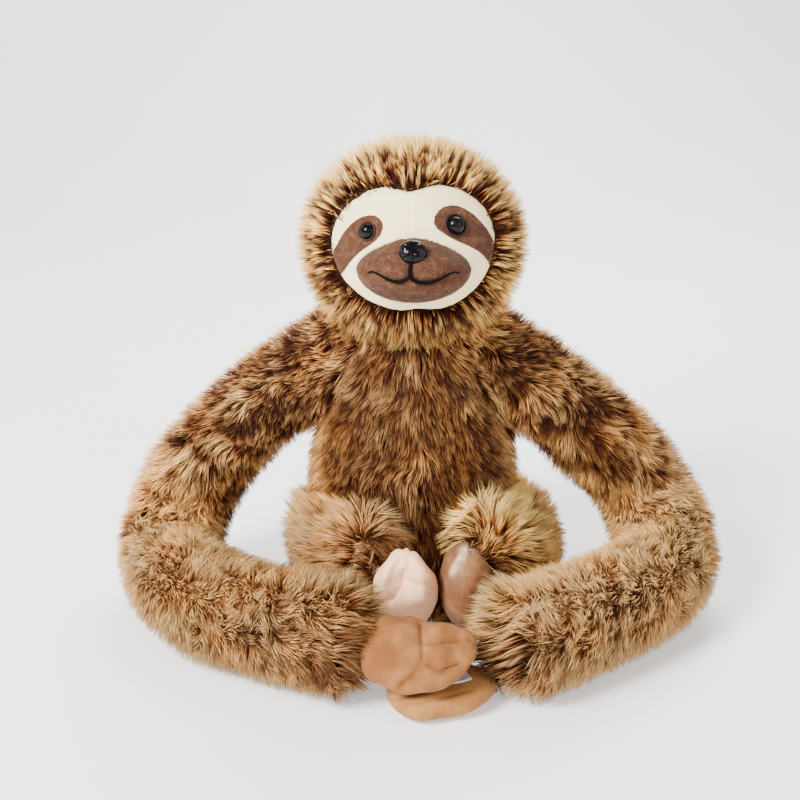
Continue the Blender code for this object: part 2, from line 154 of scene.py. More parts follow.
def note(mesh: Mesh, name: str, values: Array) -> None:
    """Keeps a value for each vertex, which a finish reads."""
    layer = mesh.attributes.new(name, "FLOAT", "POINT")
    layer.data.foreach_set("value", values.astype(np.float32))


def unit(rows: Array) -> Array:
    """The rows scaled to length one."""
    return rows / np.maximum(np.linalg.norm(rows, axis=-1, keepdims=True), 1e-9)


def ramp(values: Array, low: float, high: float) -> Array:
    """A smooth step from 0 at low to 1 at high; low may be the larger."""
    share = np.clip((values - low) / (high - low), 0.0, 1.0)
    return share * share * (3.0 - 2.0 * share)


def bell(values: Array, reach: float, power: float = 2) -> Array:
    """A smooth hill, 1 where the value is 0 and small beyond its reach."""
    return np.exp(-((values / reach) ** power))


def gaps(points: Array, place: Place) -> Array:
    """The distance from each point to one place."""
    return np.linalg.norm(points - np.array(place), axis=1)


def box_of(node: str) -> tuple[Array, Array, Array]:
    """The low corner, the high corner and the middle of a solid's box."""
    low, high = (np.array(corner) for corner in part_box(node))
    return low, high, (low + high) / 2


def tree_of(points: Array, triangles: Array) -> BVHTree:
    """A search tree over a triangle mesh."""
    return BVHTree.FromPolygons(points.tolist(), triangles.tolist(), all_triangles=True)


def tree_over(name: str) -> BVHTree:
    """A search tree over an object of the scene."""
    mesh = bpy.data.objects[name].data
    return tree_of(points_of(mesh), triangles_of(mesh))


def distance_to(tree: BVHTree, points: Array) -> Array:
    """The distance from each point to the nearest place on a mesh."""
    return np.array([tree.find_nearest(Vector(point))[3] for point in points])


def nearest_of(points: Array, chosen: Sequence[int], asked: Array) -> list[tuple[Vector, int, float]]:
    """The nearest chosen point to each place.

    Args:
        points: rows of places.
        chosen: the numbers of those that count.
        asked: the places to start from.

    Returns:
        For each, the point found, its number and its distance.
    """
    tree = KDTree(len(chosen))
    for number in chosen:
        tree.insert(Vector(points[number]), int(number))
    tree.balance()
    return [tree.find(Vector(place)) for place in asked]


def linked(name: str, data: Any) -> Object:
    """A new object in the scene, at the origin."""
    obj = bpy.data.objects.new(name, data)
    bpy.context.scene.collection.objects.link(obj)
    return obj


def merged_copy(name: str, nodes: Sequence[str], grow: float = 0.0, slim: Sequence[str] = ()) -> Object:
    """One welded mesh made from copies of solids of the frame.

    Args:
        name: the new piece's name.
        nodes: the solids to copy.
        grow: how far each copy is swollen first, so that neighbours overlap.
        slim: those that are drawn in instead, so that they don't fuse where they only touch.

    Returns:
        The new object, at the origin.
    """
    whole = bmesh.new()
    for node in nodes:
        more = DRAWN_IN if node in slim else grow
        single = bmesh.new()
        single.from_mesh(bpy.data.objects[node].data)
        bmesh.ops.remove_doubles(single, verts=single.verts, dist=1e-6)
        single.normal_update()
        for vertex in single.verts:
            vertex.co += more * vertex.normal
        mesh = bpy.data.meshes.new("single")
        single.to_mesh(mesh)
        single.free()
        whole.from_mesh(mesh)
        bpy.data.meshes.remove(mesh)
    mesh = bpy.data.meshes.new(name)
    whole.to_mesh(mesh)
    whole.free()
    return linked(name, mesh)


def mesh_from_arrays(name: str, points: Array, loops: Array, sizes: Array) -> Object:
    """Makes an object from flat arrays.

    Args:
        name: the object's name.
        points: rows of places.
        loops: the vertex numbers of all faces, one after another.
        sizes: the number of corners of each face.

    Returns:
        The new object.
    """
    mesh = bpy.data.meshes.new(name)
    mesh.vertices.add(len(points))
    mesh.vertices.foreach_set("co", points.astype(np.float32).ravel())
    mesh.loops.add(len(loops))
    mesh.loops.foreach_set("vertex_index", loops.astype(np.int32))
    mesh.polygons.add(len(sizes))
    starts = np.concatenate([[0], np.cumsum(sizes)[:-1]])
    mesh.polygons.foreach_set("loop_start", starts.astype(np.int32))
    mesh.update(calc_edges=True)
    mesh.shade_smooth()
    return linked(name, mesh)


def remeshed(obj: Object, voxel: float, smoothing: int) -> None:
    """Gives a closed form even small faces, and eases its corners a number of times."""
    apply_modifier(obj, "REMESH", mode="VOXEL", voxel_size=voxel, use_smooth_shade=True)
    smoothed(obj, smoothing)


def smoothed(obj: Object, times: int) -> None:
    """Eases the corners of a form a number of times."""
    apply_modifier(obj, "SMOOTH", factor=0.5, iterations=times)


def spread(values: Array, edges: Array, count: int) -> Array:
    """Evens out a value over neighbouring vertices, a number of times."""
    size = len(values)
    degree = np.bincount(edges.ravel(), minlength=size).astype(float)
    for _ in range(count):
        total = np.bincount(edges[:, 0], values[edges[:, 1]], size)
        total += np.bincount(edges[:, 1], values[edges[:, 0]], size)
        values = 0.5 * values + 0.5 * total / np.maximum(degree, 1.0)
    return values


class Waves:
    """A soft random field in space, from a sum of waves."""

    def __init__(self, rng: np.random.Generator, length: float, count: int = 14) -> None:
        """Picks the waves.

        Args:
            rng: the source of chance.
            length: about how far apart its hills are, in metres.
            count: how many waves are summed.
        """
        self.ways = unit(rng.normal(size=(count, 3))) * (2 * math.pi / length)
        self.ways *= rng.uniform(0.6, 1.5, (count, 1))
        self.starts = rng.uniform(0, 2 * math.pi, count)

    def at(self, points: Array) -> Array:
        """The field at each point, mostly from -1 to 1."""
        return np.sin(points @ self.ways.T + self.starts).sum(1) / math.sqrt(len(self.starts) / 2) * 0.7


# ---------------------------------------------------------------- node tools
class Graph:
    """A short way to write a node tree."""

    def __init__(self, tree: bpy.types.NodeTree) -> None:
        """Keeps the tree that nodes are added to."""
        self.tree = tree

    def node(self, kind: str, inputs: dict[Any, Any] | None = None, **settings: Any) -> bpy.types.Node:
        """Adds a node.

        Args:
            kind: the node's type, without its ShaderNode prefix.
            inputs: a value or a socket for each input, by name or number.
            settings: the node's properties.

        Returns:
            The new node.
        """
        made = self.tree.nodes.new("ShaderNode" + kind)
        for name, value in settings.items():
            setattr(made, name, value)
        self.feed(made, inputs or {})
        return made

    def feed(self, node: bpy.types.Node, inputs: dict[Any, Any]) -> None:
        """Links sockets to a node's inputs, or sets the inputs' values."""
        for key, value in inputs.items():
            target = node.inputs[key]
            if isinstance(value, Socket):
                self.tree.links.new(value, target)
            else:
                target.default_value = (*value, 1.0) if target.type == "RGBA" else value

    def mix(self, factor: Any, first: Any, second: Any, blend: str = "MIX") -> Socket:
        """Mixes two colours."""
        inputs = {0: factor, 6: first, 7: second}
        return self.node("Mix", inputs, data_type="RGBA", blend_type=blend).outputs[2]

    def maths(self, operation: str, first: Any, second: Any = 0.0, third: Any = 0.0) -> Socket:
        """One step of arithmetic."""
        return self.node("Math", {0: first, 1: second, 2: third}, operation=operation).outputs[0]

    def step(self, value: Any, low: Any, high: Any, start: Any = 0.0, end: Any = 1.0) -> Socket:
        """Maps a range smoothly on to another."""
        inputs = {"Value": value, "From Min": low, "From Max": high, "To Min": start, "To Max": end}
        return self.node("MapRange", inputs, interpolation_type="SMOOTHSTEP").outputs["Result"]

    def noise(self, place: Socket, scale: Any, detail: float = 2.0) -> Socket:
        """The value of a cloudy texture."""
        return self.node("TexNoise", {"Vector": place, "Scale": scale, "Detail": detail}).outputs[0]

    def bump(self, height: Socket, strength: Any, distance: float, **settings: Any) -> Socket:
        """The normal of a fine relief, its distance in metres."""
        inputs = {"Strength": strength, "Distance": distance, "Height": height}
        return self.node("Bump", inputs, **settings).outputs[0]

    def place(self) -> Socket:
        """Object coordinates, in metres."""
        return self.node("TexCoord").outputs["Object"]

    def read(self, name: str, output: str = "Fac") -> Socket:
        """An attribute of the mesh."""
        return self.node("Attribute", attribute_name=name).outputs[output]

    def group(self, name: str, inputs: dict[str, Any]) -> Any:
        """Puts a node group in the tree with its own values, and gives its outputs."""
        made = self.tree.nodes.new("ShaderNodeGroup")
        made.node_tree = bpy.data.node_groups[name]
        self.feed(made, inputs)
        return made.outputs


def new_group(name: str, ins: dict[str, Any], outs: dict[str, str]) -> tuple[Graph, Any, Any]:
    """Starts a node group.

    Args:
        name: the group's name.
        ins: the value of each input: a number or a colour.
        outs: the socket type of each output.

    Returns:
        The graph, the sockets that its inputs give, and its output node.
    """
    tree = bpy.data.node_groups.new(name, "ShaderNodeTree")
    for label, value in ins.items():
        colour = isinstance(value, tuple)
        kind = "NodeSocketColor" if colour else "NodeSocketFloat"
        made = tree.interface.new_socket(label, in_out="INPUT", socket_type=kind)
        made.default_value = (*value, 1.0) if colour else value
    for label, kind in outs.items():
        tree.interface.new_socket(label, in_out="OUTPUT", socket_type="NodeSocket" + kind)
    source, sink = tree.nodes.new("NodeGroupInput"), tree.nodes.new("NodeGroupOutput")
    return Graph(tree), source.outputs, sink


class Groups:
    """The node groups that several finishes share."""

    PILE = "pile tint"
    NAP = "velour nap"

    @staticmethod
    def build_pile() -> None:
        """Colours a strand from its dark root to its pale tip, and breaks the colour up from strand to strand."""
        ins = {"Along": 0.0, "Tone": 0.5, "Mark": 0.5}
        ins |= {"Root": BLACK, "Umber": BLACK, "Middle": BLACK, "Fawn": WHITE, "Tip": WHITE}
        graph, given, sink = new_group(Groups.PILE, ins, {"Colour": "Color", "Roughness": "Float"})
        along, tone, mark = given["Along"], given["Tone"], given["Mark"]
        dark = graph.maths("MULTIPLY_ADD", mark, -1.00, 1.05)
        dark = graph.maths("MULTIPLY_ADD", tone, -0.62, dark)
        rise = graph.step(along, graph.maths("SUBTRACT", dark, 0.22), graph.maths("ADD", dark, 0.24))
        deep = graph.step(mark, 0.05, 0.42)
        fair = graph.step(mark, 0.55, 0.95)
        middle = graph.mix(fair, graph.mix(deep, given["Umber"], given["Middle"]), given["Fawn"])
        colour = graph.mix(rise, graph.mix(fair, given["Root"], given["Umber"]), middle)
        pale = graph.maths("MULTIPLY_ADD", mark, -0.55, 0.8)
        pale = graph.maths("MULTIPLY_ADD", tone, -0.32, pale)
        frost = graph.step(along, pale, graph.maths("ADD", pale, 0.5))
        tip = graph.mix(deep, graph.mix(0.45, given["Tip"], given["Middle"]), given["Tip"])
        colour = graph.mix(frost, colour, tip)
        cloud = graph.step(graph.noise(graph.place(), 34.0), 0.35, 0.7)
        colour = graph.mix(1.0, colour, graph.mix(cloud, (0.92, 0.98, 1.06), (1.1, 0.98, 0.82)), "MULTIPLY")
        speckle = graph.step(tone, 0.0, 1.0, 0.62, 1.3)
        grey = graph.node("CombineColor", dict.fromkeys(range(3), speckle)).outputs[0]
        colour = graph.mix(1.0, colour, grey, "MULTIPLY")
        graph.feed(sink, {"Colour": colour, "Roughness": graph.step(along, 0.0, 1.0, 0.75, 0.55)})

    @staticmethod
    def build_nap() -> None:
        """Gives short cloth its cloudy nap, its worn lights and its fine bump."""
        ins = {"Base": WHITE, "Shade": BLACK, "Light": WHITE}
        ins |= {"Clouds": 120.0, "Fibres": 2600.0, "Depth": 0.6, "Grain": 0.3}
        outs = {"Colour": "Color", "Roughness": "Float", "Normal": "Vector"}
        graph, given, sink = new_group(Groups.NAP, ins, outs)
        place = graph.place()
        cloud = graph.noise(place, given["Clouds"], 3.0)
        fibre = graph.noise(place, given["Fibres"])
        colour = graph.mix(graph.step(cloud, 0.36, 0.62), given["Shade"], given["Base"])
        colour = graph.mix(graph.step(cloud, 0.55, 0.78), colour, given["Light"])
        flecks = graph.mix(graph.step(fibre, 0.3, 0.7), (0.62, 0.59, 0.56), (1.38, 1.38, 1.38))
        graph.feed(sink, {
            "Colour": graph.mix(given["Grain"], colour, flecks, "MULTIPLY"),
            "Roughness": graph.step(fibre, 0.2, 0.8, 0.95, 0.78),
            "Normal": graph.bump(graph.maths("MULTIPLY_ADD", cloud, 0.6, fibre), given["Depth"], 0.0005),
        })


class Finish:
    """What a material looks like."""

    def wire(self, graph: Graph) -> dict[str, Any]:
        """The socket or the constant value of each input of the shader."""
        raise NotImplementedError

    def given(self, *names: str) -> dict[str, Any]:
        """Fields of the finish, as inputs of a shared group."""
        return {name.capitalize(): getattr(self, name) for name in names}

    def material(self, name: str) -> Material:
        """Builds the material."""
        material = bpy.data.materials.new(name)
        material.use_nodes = True
        graph = Graph(material.node_tree)
        graph.feed(material.node_tree.nodes["Principled BSDF"], self.wire(graph))
        return material


@dataclass(frozen=True)
class PileFinish(Finish):
    """The two-tone pile: dark roots, golden middle and pale tips. Its tufts read their own attribute."""

    root: Colour = (0.05, 0.009, 0.003)
    umber: Colour = (0.18, 0.055, 0.013)
    middle: Colour = (0.34, 0.136, 0.036)
    fawn: Colour = (0.41, 0.19, 0.066)
    tip: Colour = (0.84, 0.5, 0.19)

    def wire(self, graph: Graph) -> dict[str, Any]:
        """The tint of the tufts."""
        parts = graph.node("SeparateColor", {0: graph.read("pile", "Color")}).outputs
        return self.tint(graph, *parts[:3]) | {"Specular IOR Level": 0.14}

    def tint(self, graph: Graph, along: Socket, tone: Socket, mark: Socket) -> dict[str, Any]:
        """The colour and roughness that the shared group gives."""
        inputs = {"Along": along, "Tone": tone, "Mark": mark}
        outputs = graph.group(Groups.PILE, inputs | self.given("root", "umber", "middle", "fawn", "tip"))
        return {"Base Color": outputs["Colour"], "Roughness": outputs["Roughness"]}


@dataclass(frozen=True)
class BackingFinish(PileFinish):
    """The cloth under the tufts: their root colour, with the same markings."""

    def wire(self, graph: Graph) -> dict[str, Any]:
        """The tint of the cloth, with a fine bump."""
        place = graph.place()
        along = graph.step(graph.noise(place, 420.0), 0.35, 0.75, 0.0, 0.22)
        tone = graph.noise(place, 900.0)
        tint = self.tint(graph, along, tone, graph.read("mark"))
        return tint | {"Specular IOR Level": 0.1, "Normal": graph.bump(tone, 0.8, 0.001)}


@dataclass(frozen=True)
class VelourFinish(Finish):
    """A short matt cloth."""

    base: Colour
    shade: Colour
    light: Colour
    clouds: float = 120.0
    fibres: float = 2600.0
    depth: float = 0.6
    grain: float = 0.3
    ridge_highlight: Colour | None = None  # painted highlight: the colour along a ridge that catches the key lamp

    def wire(self, graph: Graph) -> dict[str, Any]:
        """The nap, with a painted highlight along a ridge where one is given, and a faint sheen."""
        fields = self.given("base", "shade", "light", "clouds", "fibres", "depth", "grain")
        nap = graph.group(Groups.NAP, fields)
        colour = nap["Colour"]
        # painted highlight along a ridge
        if self.ridge_highlight:
            colour = graph.mix(graph.read("ridge_highlight"), colour, self.ridge_highlight)
        inputs = {"Base Color": colour, "Roughness": nap["Roughness"], "Normal": nap["Normal"]}
        return inputs | {"Sheen Weight": 0.06, "Specular IOR Level": 0.12}


@dataclass(frozen=True)
class PlasticFinish(Finish):
    """Glossy moulded plastic, a little uneven."""

    colour: Colour
    glint: Colour
    roughness: float = 0.1

    def wire(self, graph: Graph) -> dict[str, Any]:
        """A smeared gloss."""
        smear = graph.noise(graph.place(), 260.0, 3.0)
        return {
            "Base Color": graph.mix(graph.step(smear, 0.45, 0.75), self.colour, self.glint),
            "Roughness": graph.step(smear, 0.3, 0.8, self.roughness, self.roughness + 0.12),
            "Specular IOR Level": 0.15,
        }


@dataclass(frozen=True)
class ThreadFinish(Finish):
    """Satin thread, twisted across its length."""

    colour: Colour = (0.0015, 0.001, 0.001)
    light: Colour = (0.005, 0.0038, 0.0036)

    def wire(self, graph: Graph) -> dict[str, Any]:
        """Slanting bands of light."""
        inputs = {"Vector": graph.place(), "Scale": 900.0, "Distortion": 1.5, "Detail": 1.0}
        twist = graph.node("TexWave", inputs, bands_direction="DIAGONAL").outputs[1]
        return {
            "Base Color": graph.mix(twist, self.colour, self.light),
            "Roughness": graph.step(twist, 0.0, 1.0, 0.9, 0.7),
            "Specular IOR Level": 0.06,
            "Normal": graph.bump(twist, 0.6, 0.0002),
        }


@dataclass(frozen=True)
class TapeFinish(Finish):
    """Woven touch tape with a fine field of loops."""

    colour: Colour = (0.42, 0.39, 0.46)
    # the loop tops are painted pale and the gaps between them dark: painted light and shade
    light: Colour = (0.72, 0.7, 0.76)

    def wire(self, graph: Graph) -> dict[str, Any]:
        """Small cells, one to a loop, painted pale on top and dark in the gaps between loops as painted shade."""
        loops = graph.node("TexVoronoi", {"Vector": graph.place(), "Scale": 1500.0}).outputs[0]
        return {
            "Base Color": graph.mix(graph.step(loops, 0.1, 0.6), self.light, self.colour),
            "Roughness": graph.step(loops, 0.0, 1.0, 0.6, 0.95),
            "Normal": graph.bump(loops, 0.8, 0.0004, invert=True),
        }


@dataclass(frozen=True)
class TableFinish(Finish):
    """A pale, faintly grained table top."""

    colour: Colour = (0.88, 0.88, 0.89)
    shade: Colour = (0.85, 0.85, 0.862)
    glow: float = 0.45

    def wire(self, graph: Graph) -> dict[str, Any]:
        """Wide faint clouds and a fine grain, a little lit from within."""
        place = graph.place()
        grain = graph.noise(place, 420.0, 3.0)
        cloud = graph.step(graph.noise(place, 5.0, 3.0), 0.3, 0.7)
        return {
            "Base Color": graph.mix(cloud, self.shade, self.colour),
            "Roughness": graph.step(grain, 0.3, 0.7, 0.75, 0.9),
            "Emission Color": WHITE,
            "Emission Strength": self.glow,
            "Normal": graph.bump(grain, 0.35, 0.0006),
        }


def dress(obj: Object, material: Material) -> None:
    """Gives a piece its one material."""
    obj.data.materials.clear()
    obj.data.materials.append(material)


def settle(obj: Object, material: Material, nodes: Sequence[str] = ()) -> None:
    """Dresses a finished piece and tells the frame about it.

    Args:
        obj: the piece.
        material: its finish.
        nodes: the solids that it stands for.
    """
    dress(obj, material)
    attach(obj, "root")
    if nodes:
        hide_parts(*nodes)
    LOG.info("%s: %d faces", obj.name, len(obj.data.polygons))


# ---------------------------------------------------------------- routes of the limbs
class Route:
    """The smooth line down the middle of a limb."""

    BATCH = 20000  # points that are compared with the line at once
    DRAWN_OUT = 4.0  # how far the share runs on past an end, for each metre

    def __init__(self, knots: Sequence[tuple[float, float, float]], samples: int = 90) -> None:
        """Samples the B-spline of the knots.

        Args:
            knots: its control points, the ends repeated past the list.
            samples: how many points stand for it.
        """
        given = np.array(knots)
        padded = np.vstack([given[:1], given, given[-1:]])
        at = np.linspace(0.0, len(given) - 1.0, samples)
        index = np.minimum(at.astype(int), len(given) - 2)
        t = (at - index)[:, None]
        weights = ((1 - t) ** 3, 3 * t**3 - 6 * t**2 + 4, -3 * t**3 + 3 * t**2 + 3 * t + 1, t**3)
        self.points = sum(weight * padded[index + step] for step, weight in enumerate(weights)) / 6
        self.ways = unit(np.gradient(self.points, axis=0))
        steps = np.linalg.norm(np.diff(self.points, axis=0), axis=1)
        self.shares = np.concatenate([[0.0], np.cumsum(steps)]) / steps.sum()
        self.sides = unit(np.cross(self.ways, np.array([0.0, 0.0, 1.0]) + 0.2 * self.ways[:, ::-1]))

    def nearest(self, points: Array) -> Array:
        """The number of the sample nearest to each point."""
        found = np.empty(len(points), int)
        for start in range(0, len(points), self.BATCH):
            batch = slice(start, start + self.BATCH)
            squares = ((points[batch][:, None, :] - self.points[None]) ** 2).sum(2)
            found[batch] = squares.argmin(1)
        return found

    def unwrap(self, points: Array) -> Array:
        """Turn round the line, and share along it, drawn out over the rounded ends."""
        index = self.nearest(points)
        out = points - self.points[index]
        share = self.shares[index] + self.DRAWN_OUT * (out * self.ways[index]).sum(1)
        up = np.cross(self.sides[index], self.ways[index])
        turn = np.arctan2((out * up).sum(1), (out * self.sides[index]).sum(1))
        return np.stack([turn / (2 * math.pi) + 0.5, share], 1)


ARM_RIGHT = Route([
    (-0.02, 0.005, 0.167), (-0.05, 0.008, 0.15), (-0.076, 0.01, 0.131), (-0.098, 0.014, 0.111),
    (-0.118, 0.017, 0.089), (-0.135, 0.018, 0.066), (-0.1445, 0.0055, 0.043), (-0.145, -0.019, 0.031),
    (-0.134, -0.0445, 0.0305), (-0.112, -0.069, 0.0315), (-0.089, -0.088, 0.0315), (-0.064, -0.102, 0.0315),
    (-0.04, -0.113, 0.0325), (-0.019, -0.121, 0.034),
])
ARM_LEFT = Route([
    (0.021, 0.005, 0.167), (0.052, 0.004, 0.15), (0.077, 0.003, 0.13), (0.101, 0.008, 0.11),
    (0.121, 0.015, 0.09), (0.138, 0.0195, 0.068), (0.15, 0.011, 0.047), (0.153, -0.012, 0.033),
    (0.144, -0.037, 0.0305), (0.124, -0.061, 0.0315), (0.099, -0.0825, 0.0315), (0.0755, -0.101, 0.0315),
    (0.0555, -0.1145, 0.0315), (0.042, -0.1235, 0.031),
])
LEG_RIGHT = Route([
    (-0.01, 0.03, 0.0395), (-0.032, 0.023, 0.0392), (-0.0395, -0.006, 0.0385), (-0.028, -0.035, 0.0375),
    (-0.006, -0.054, 0.037),
])
LEG_LEFT = Route([
    (0.012, 0.032, 0.0365), (0.0425, 0.025, 0.0365), (0.054, -0.004, 0.037), (0.045, -0.034, 0.037),
    (0.025, -0.054, 0.037),
])


# ---------------------------------------------------------------- the skin
FURRY = (
    "head", "trunk", "upper_arm_right", "upper_arm_left", "forearm_right", "forearm_left", "leg_right", "leg_left",
)
BARE = ("face_panel", "muzzle", "hand_right", "hand_left", "foot_right", "foot_left")


@dataclass(frozen=True)
class Touch:
    """One place where the pile differs from the rest of its part."""

    at: Place
    reach: float
    length: float = 0.0  # a share of the usual length
    stand: float = 0.0  # degrees
    mark: float = 0.0
    toward: Place = (0.0, 0.0, 0.0)
    density: float = 0.0  # how many more strands grow there, as a share


@dataclass(frozen=True)
class Growth:
    """How the pile grows on one part."""

    strands: int  # thick bent ones
    hairs: int  # fine straight ones between them
    length: float = 0.0125
    stand: float = 62.0  # degrees between the skin and a strand at its root
    lean: float = 40.0  # and at its tip
    width: float = 0.0003
    fineness: float = 0.62  # the width of a fine hair, as a share
    clump: float = 9.0  # strands to a clump
    pull: float = 0.55  # how far the tips of a clump draw together
    swirl: float = 0.35
    mark: float = 0.5  # 0 is darkest, 1 palest
    patchy: float = 0.16  # how much the mark varies over wide patches
    spots: float = 0.25  # how much darker its small spots are
    touches: tuple[Touch, ...] = ()

    def felt(self, points: Array, kind: str) -> Array:
        """What the touches add at each point: to the length, stand, mark, way or density."""
        total = np.zeros((len(points), 3)) if kind == "toward" else np.zeros(len(points))
        for touch in self.touches:
            share = bell(gaps(points, touch.at), touch.reach)
            value = np.array(getattr(touch, kind))
            total = total + (share[:, None] * value if kind == "toward" else share * value)
        return total


@dataclass
class Hide:
    """The skin's surface, from which the pile grows."""

    points: Array
    normals: Array
    triangles: Array
    owners: Array  # for each triangle, the number of its solid in FURRY + BARE


@dataclass
class Skin:
    """The one stuffed cloth body under the pile."""

    voxel: float = 0.0024
    depths: tuple[float, ...] = (0.0085, 0.0075, 0.009, 0.009, 0.01, 0.01, 0.0085, 0.0085)
    bare_depth: float = 0.008
    rim_depth: float = 0.0024
    rim_reach: float = 0.016
    most: float = 0.42  # the most that is taken off a thin place, as a share of its thickness
    start: float = 0.0004  # how far inside a ray starts
    swollen: float = 0.0006  # how far the solids are swollen, so that they fuse
    evening: tuple[int, int] = (12, 8)  # how often the depth and the markings are evened out
    bare_mark: float = 0.4
    panel_edge_painted_shade: float = 0.45  # painted shadow: how much darker the skin is beside the face, a dark line along the panel's edge

    def build(self, growths: dict[str, Growth]) -> Hide:
        """Makes the skin and dresses it.

        Args:
            growths: how the pile grows on each furry part, whose markings it takes.

        Returns:
            The surface that the pile grows from.
        """
        names = FURRY + BARE
        obj = merged_copy("sloth_skin", names, grow=self.swollen, slim=BARE)
        remeshed(obj, self.voxel, 3)
        mesh = obj.data
        points, normals = points_of(mesh), normals_of(mesh)
        owners = self.owners(points, names)
        depth = np.array(self.depths + (self.bare_depth,) * len(BARE))[owners]
        near = 1.0 - ramp(distance_to(tree_over("face_panel"), points), 0.0, self.rim_reach)
        on_head = owners == names.index("head")
        depth = np.where(on_head, depth + (self.rim_depth - depth) * near, depth)
        depth = np.minimum(depth, self.most * self.thickness(obj, points, normals))
        edges = gathered(mesh.edges, "vertices", 2, np.int32)
        depth = spread(depth, edges, self.evening[0])
        move_points(mesh, points - normals * depth[:, None])
        smoothed(obj, 3)
        shade = np.full(len(points), self.bare_mark)
        for number, name in enumerate(FURRY):
            own = owners == number
            shade[own] = growths[name].mark + growths[name].felt(points[own], "mark")
        # painted shadow: a dark line in the skin along the face panel's edge
        shade = np.where(on_head, shade - self.panel_edge_painted_shade * near, shade)
        note(mesh, "mark", np.clip(spread(shade, edges, self.evening[1]), 0.0, 1.0))
        backing = BackingFinish((0.03, 0.012, 0.006), (0.1, 0.042, 0.015)).material("fur_backing")
        settle(obj, backing, FURRY)
        triangles = triangles_of(mesh)
        return Hide(points_of(mesh), normals_of(mesh), triangles, owners[triangles[:, 0]])

    @staticmethod
    def owners(points: Array, names: Sequence[str]) -> Array:
        """The number of the solid that each point lies nearest to."""
        rows, faces, belongs = [], [], []
        for number, name in enumerate(names):
            mesh = bpy.data.objects[name].data
            faces.append(triangles_of(mesh) + sum(map(len, rows)))
            rows.append(points_of(mesh))
            belongs.append(np.full(len(faces[-1]), number))
        tree = tree_of(np.vstack(rows), np.vstack(faces))
        return np.concatenate(belongs)[[tree.find_nearest(Vector(point))[2] for point in points]]

    def thickness(self, obj: Object, points: Array, normals: Array) -> Array:
        """How far it is from each point to the other side of the form."""
        tree = tree_over(obj.name)
        found = np.full(len(points), 1.0)
        for number, (point, normal) in enumerate(zip(points, normals)):
            hit = tree.ray_cast(Vector(point - normal * self.start), Vector(-normal), 0.2)
            if hit[0] is not None:
                found[number] = hit[3] + self.start
        return found


# ---------------------------------------------------------------- the pile
class Tuft:
    """The form of one strand: a thin closed spike of three sides, straight or with one bend."""

    SIDES = 3
    CELLS = 250  # patches along each side of the map
    HALF_WIDTH = 0.00135
    HALF_LENGTH = 0.0014
    CAP = 0.0003
    FLAT = 0.7  # a strand's thickness for its width
    TAPER = 0.12  # how much thinner it is at its bend, as a share
    LOWEST = 0.0003
    LIFT = 0.0002  # which keeps the corners of a strand on the floor apart

    def __init__(self, bends: int) -> None:
        """Works out the faces and the patch that all strands of the form share.

        Args:
            bends: how many times the strand bends.
        """
        self.rings = bends + 1
        self.count = self.SIDES * self.rings + 1
        loops = [0, 2, 1]
        sizes = [3]
        for ring in range(bends):
            for side in range(self.SIDES):
                low, following = self.SIDES * ring, (side + 1) % self.SIDES
                loops += [low + side, low + following, low + self.SIDES + following, low + self.SIDES + side]
                sizes.append(4)
        for side in range(self.SIDES):
            low = self.SIDES * bends
            loops += [low + side, low + (side + 1) % self.SIDES, self.count - 1]
            sizes.append(3)
        self.loops, self.sizes = np.array(loops), np.array(sizes)
        self.corners = self.patch(bends)

    def patch(self, bends: int) -> Array:
        """The place on the map of each corner of a strand, from the middle of its patch."""
        edge = np.linspace(-self.HALF_WIDTH, self.HALF_WIDTH, self.SIDES + 1)
        level = np.linspace(-self.HALF_LENGTH, self.HALF_LENGTH, bends + 2)
        rows = [(edge[0], level[0] - self.CAP), (edge[-1], level[0] - self.CAP), (0.0, level[0])]
        for ring in range(bends):
            low, high = level[ring], level[ring + 1]
            for side in range(self.SIDES):
                rows += [(edge[side], low), (edge[side + 1], low), (edge[side + 1], high), (edge[side], high)]
        for side in range(self.SIDES):
            middle = (edge[side] + edge[side + 1]) / 2
            rows += [(edge[side], level[-2]), (edge[side + 1], level[-2]), (middle, level[-1])]
        return np.array(rows)

    def grow(self, spine: Array, across: Array, width: Array) -> Array:
        """The corners of all strands.

        Args:
            spine: for each strand its root, bends and tip.
            across: for each strand a direction across it.
            width: for each strand half its width at the root.

        Returns:
            For each strand a row of places.
        """
        along = unit(spine[:, -1] - spine[:, 0])
        side = unit(np.cross(along, across))
        other = np.cross(along, side)
        angles = np.arange(self.SIDES) * 2 * math.pi / self.SIDES
        ring = np.cos(angles)[None, :, None] * side[:, None]
        ring = ring + self.FLAT * np.sin(angles)[None, :, None] * other[:, None]
        points = np.empty((len(spine), self.count, 3))
        for level in range(self.rings):
            thick = width * (1.0 - self.TAPER * level)
            rows = slice(self.SIDES * level, self.SIDES * (level + 1))
            points[:, rows] = spine[:, level : level + 1] + ring * thick[:, None, None]
        points[:, -1] = spine[:, -1]
        lift = self.LIFT * np.arange(self.count)[None] / self.count
        points[..., 2] = np.maximum(points[..., 2], self.LOWEST + lift)
        return points

    def shares(self) -> Array:
        """How far along the strand each of its corners lies, from 0 to 1."""
        return np.append(np.repeat(np.arange(self.rings) / self.rings, self.SIDES), 1.0)


@dataclass
class Strands:
    """All the strands of one form in a piece."""

    form: Tuft
    points: Array
    patches: Array
    tints: Array  # tone and mark of each strand


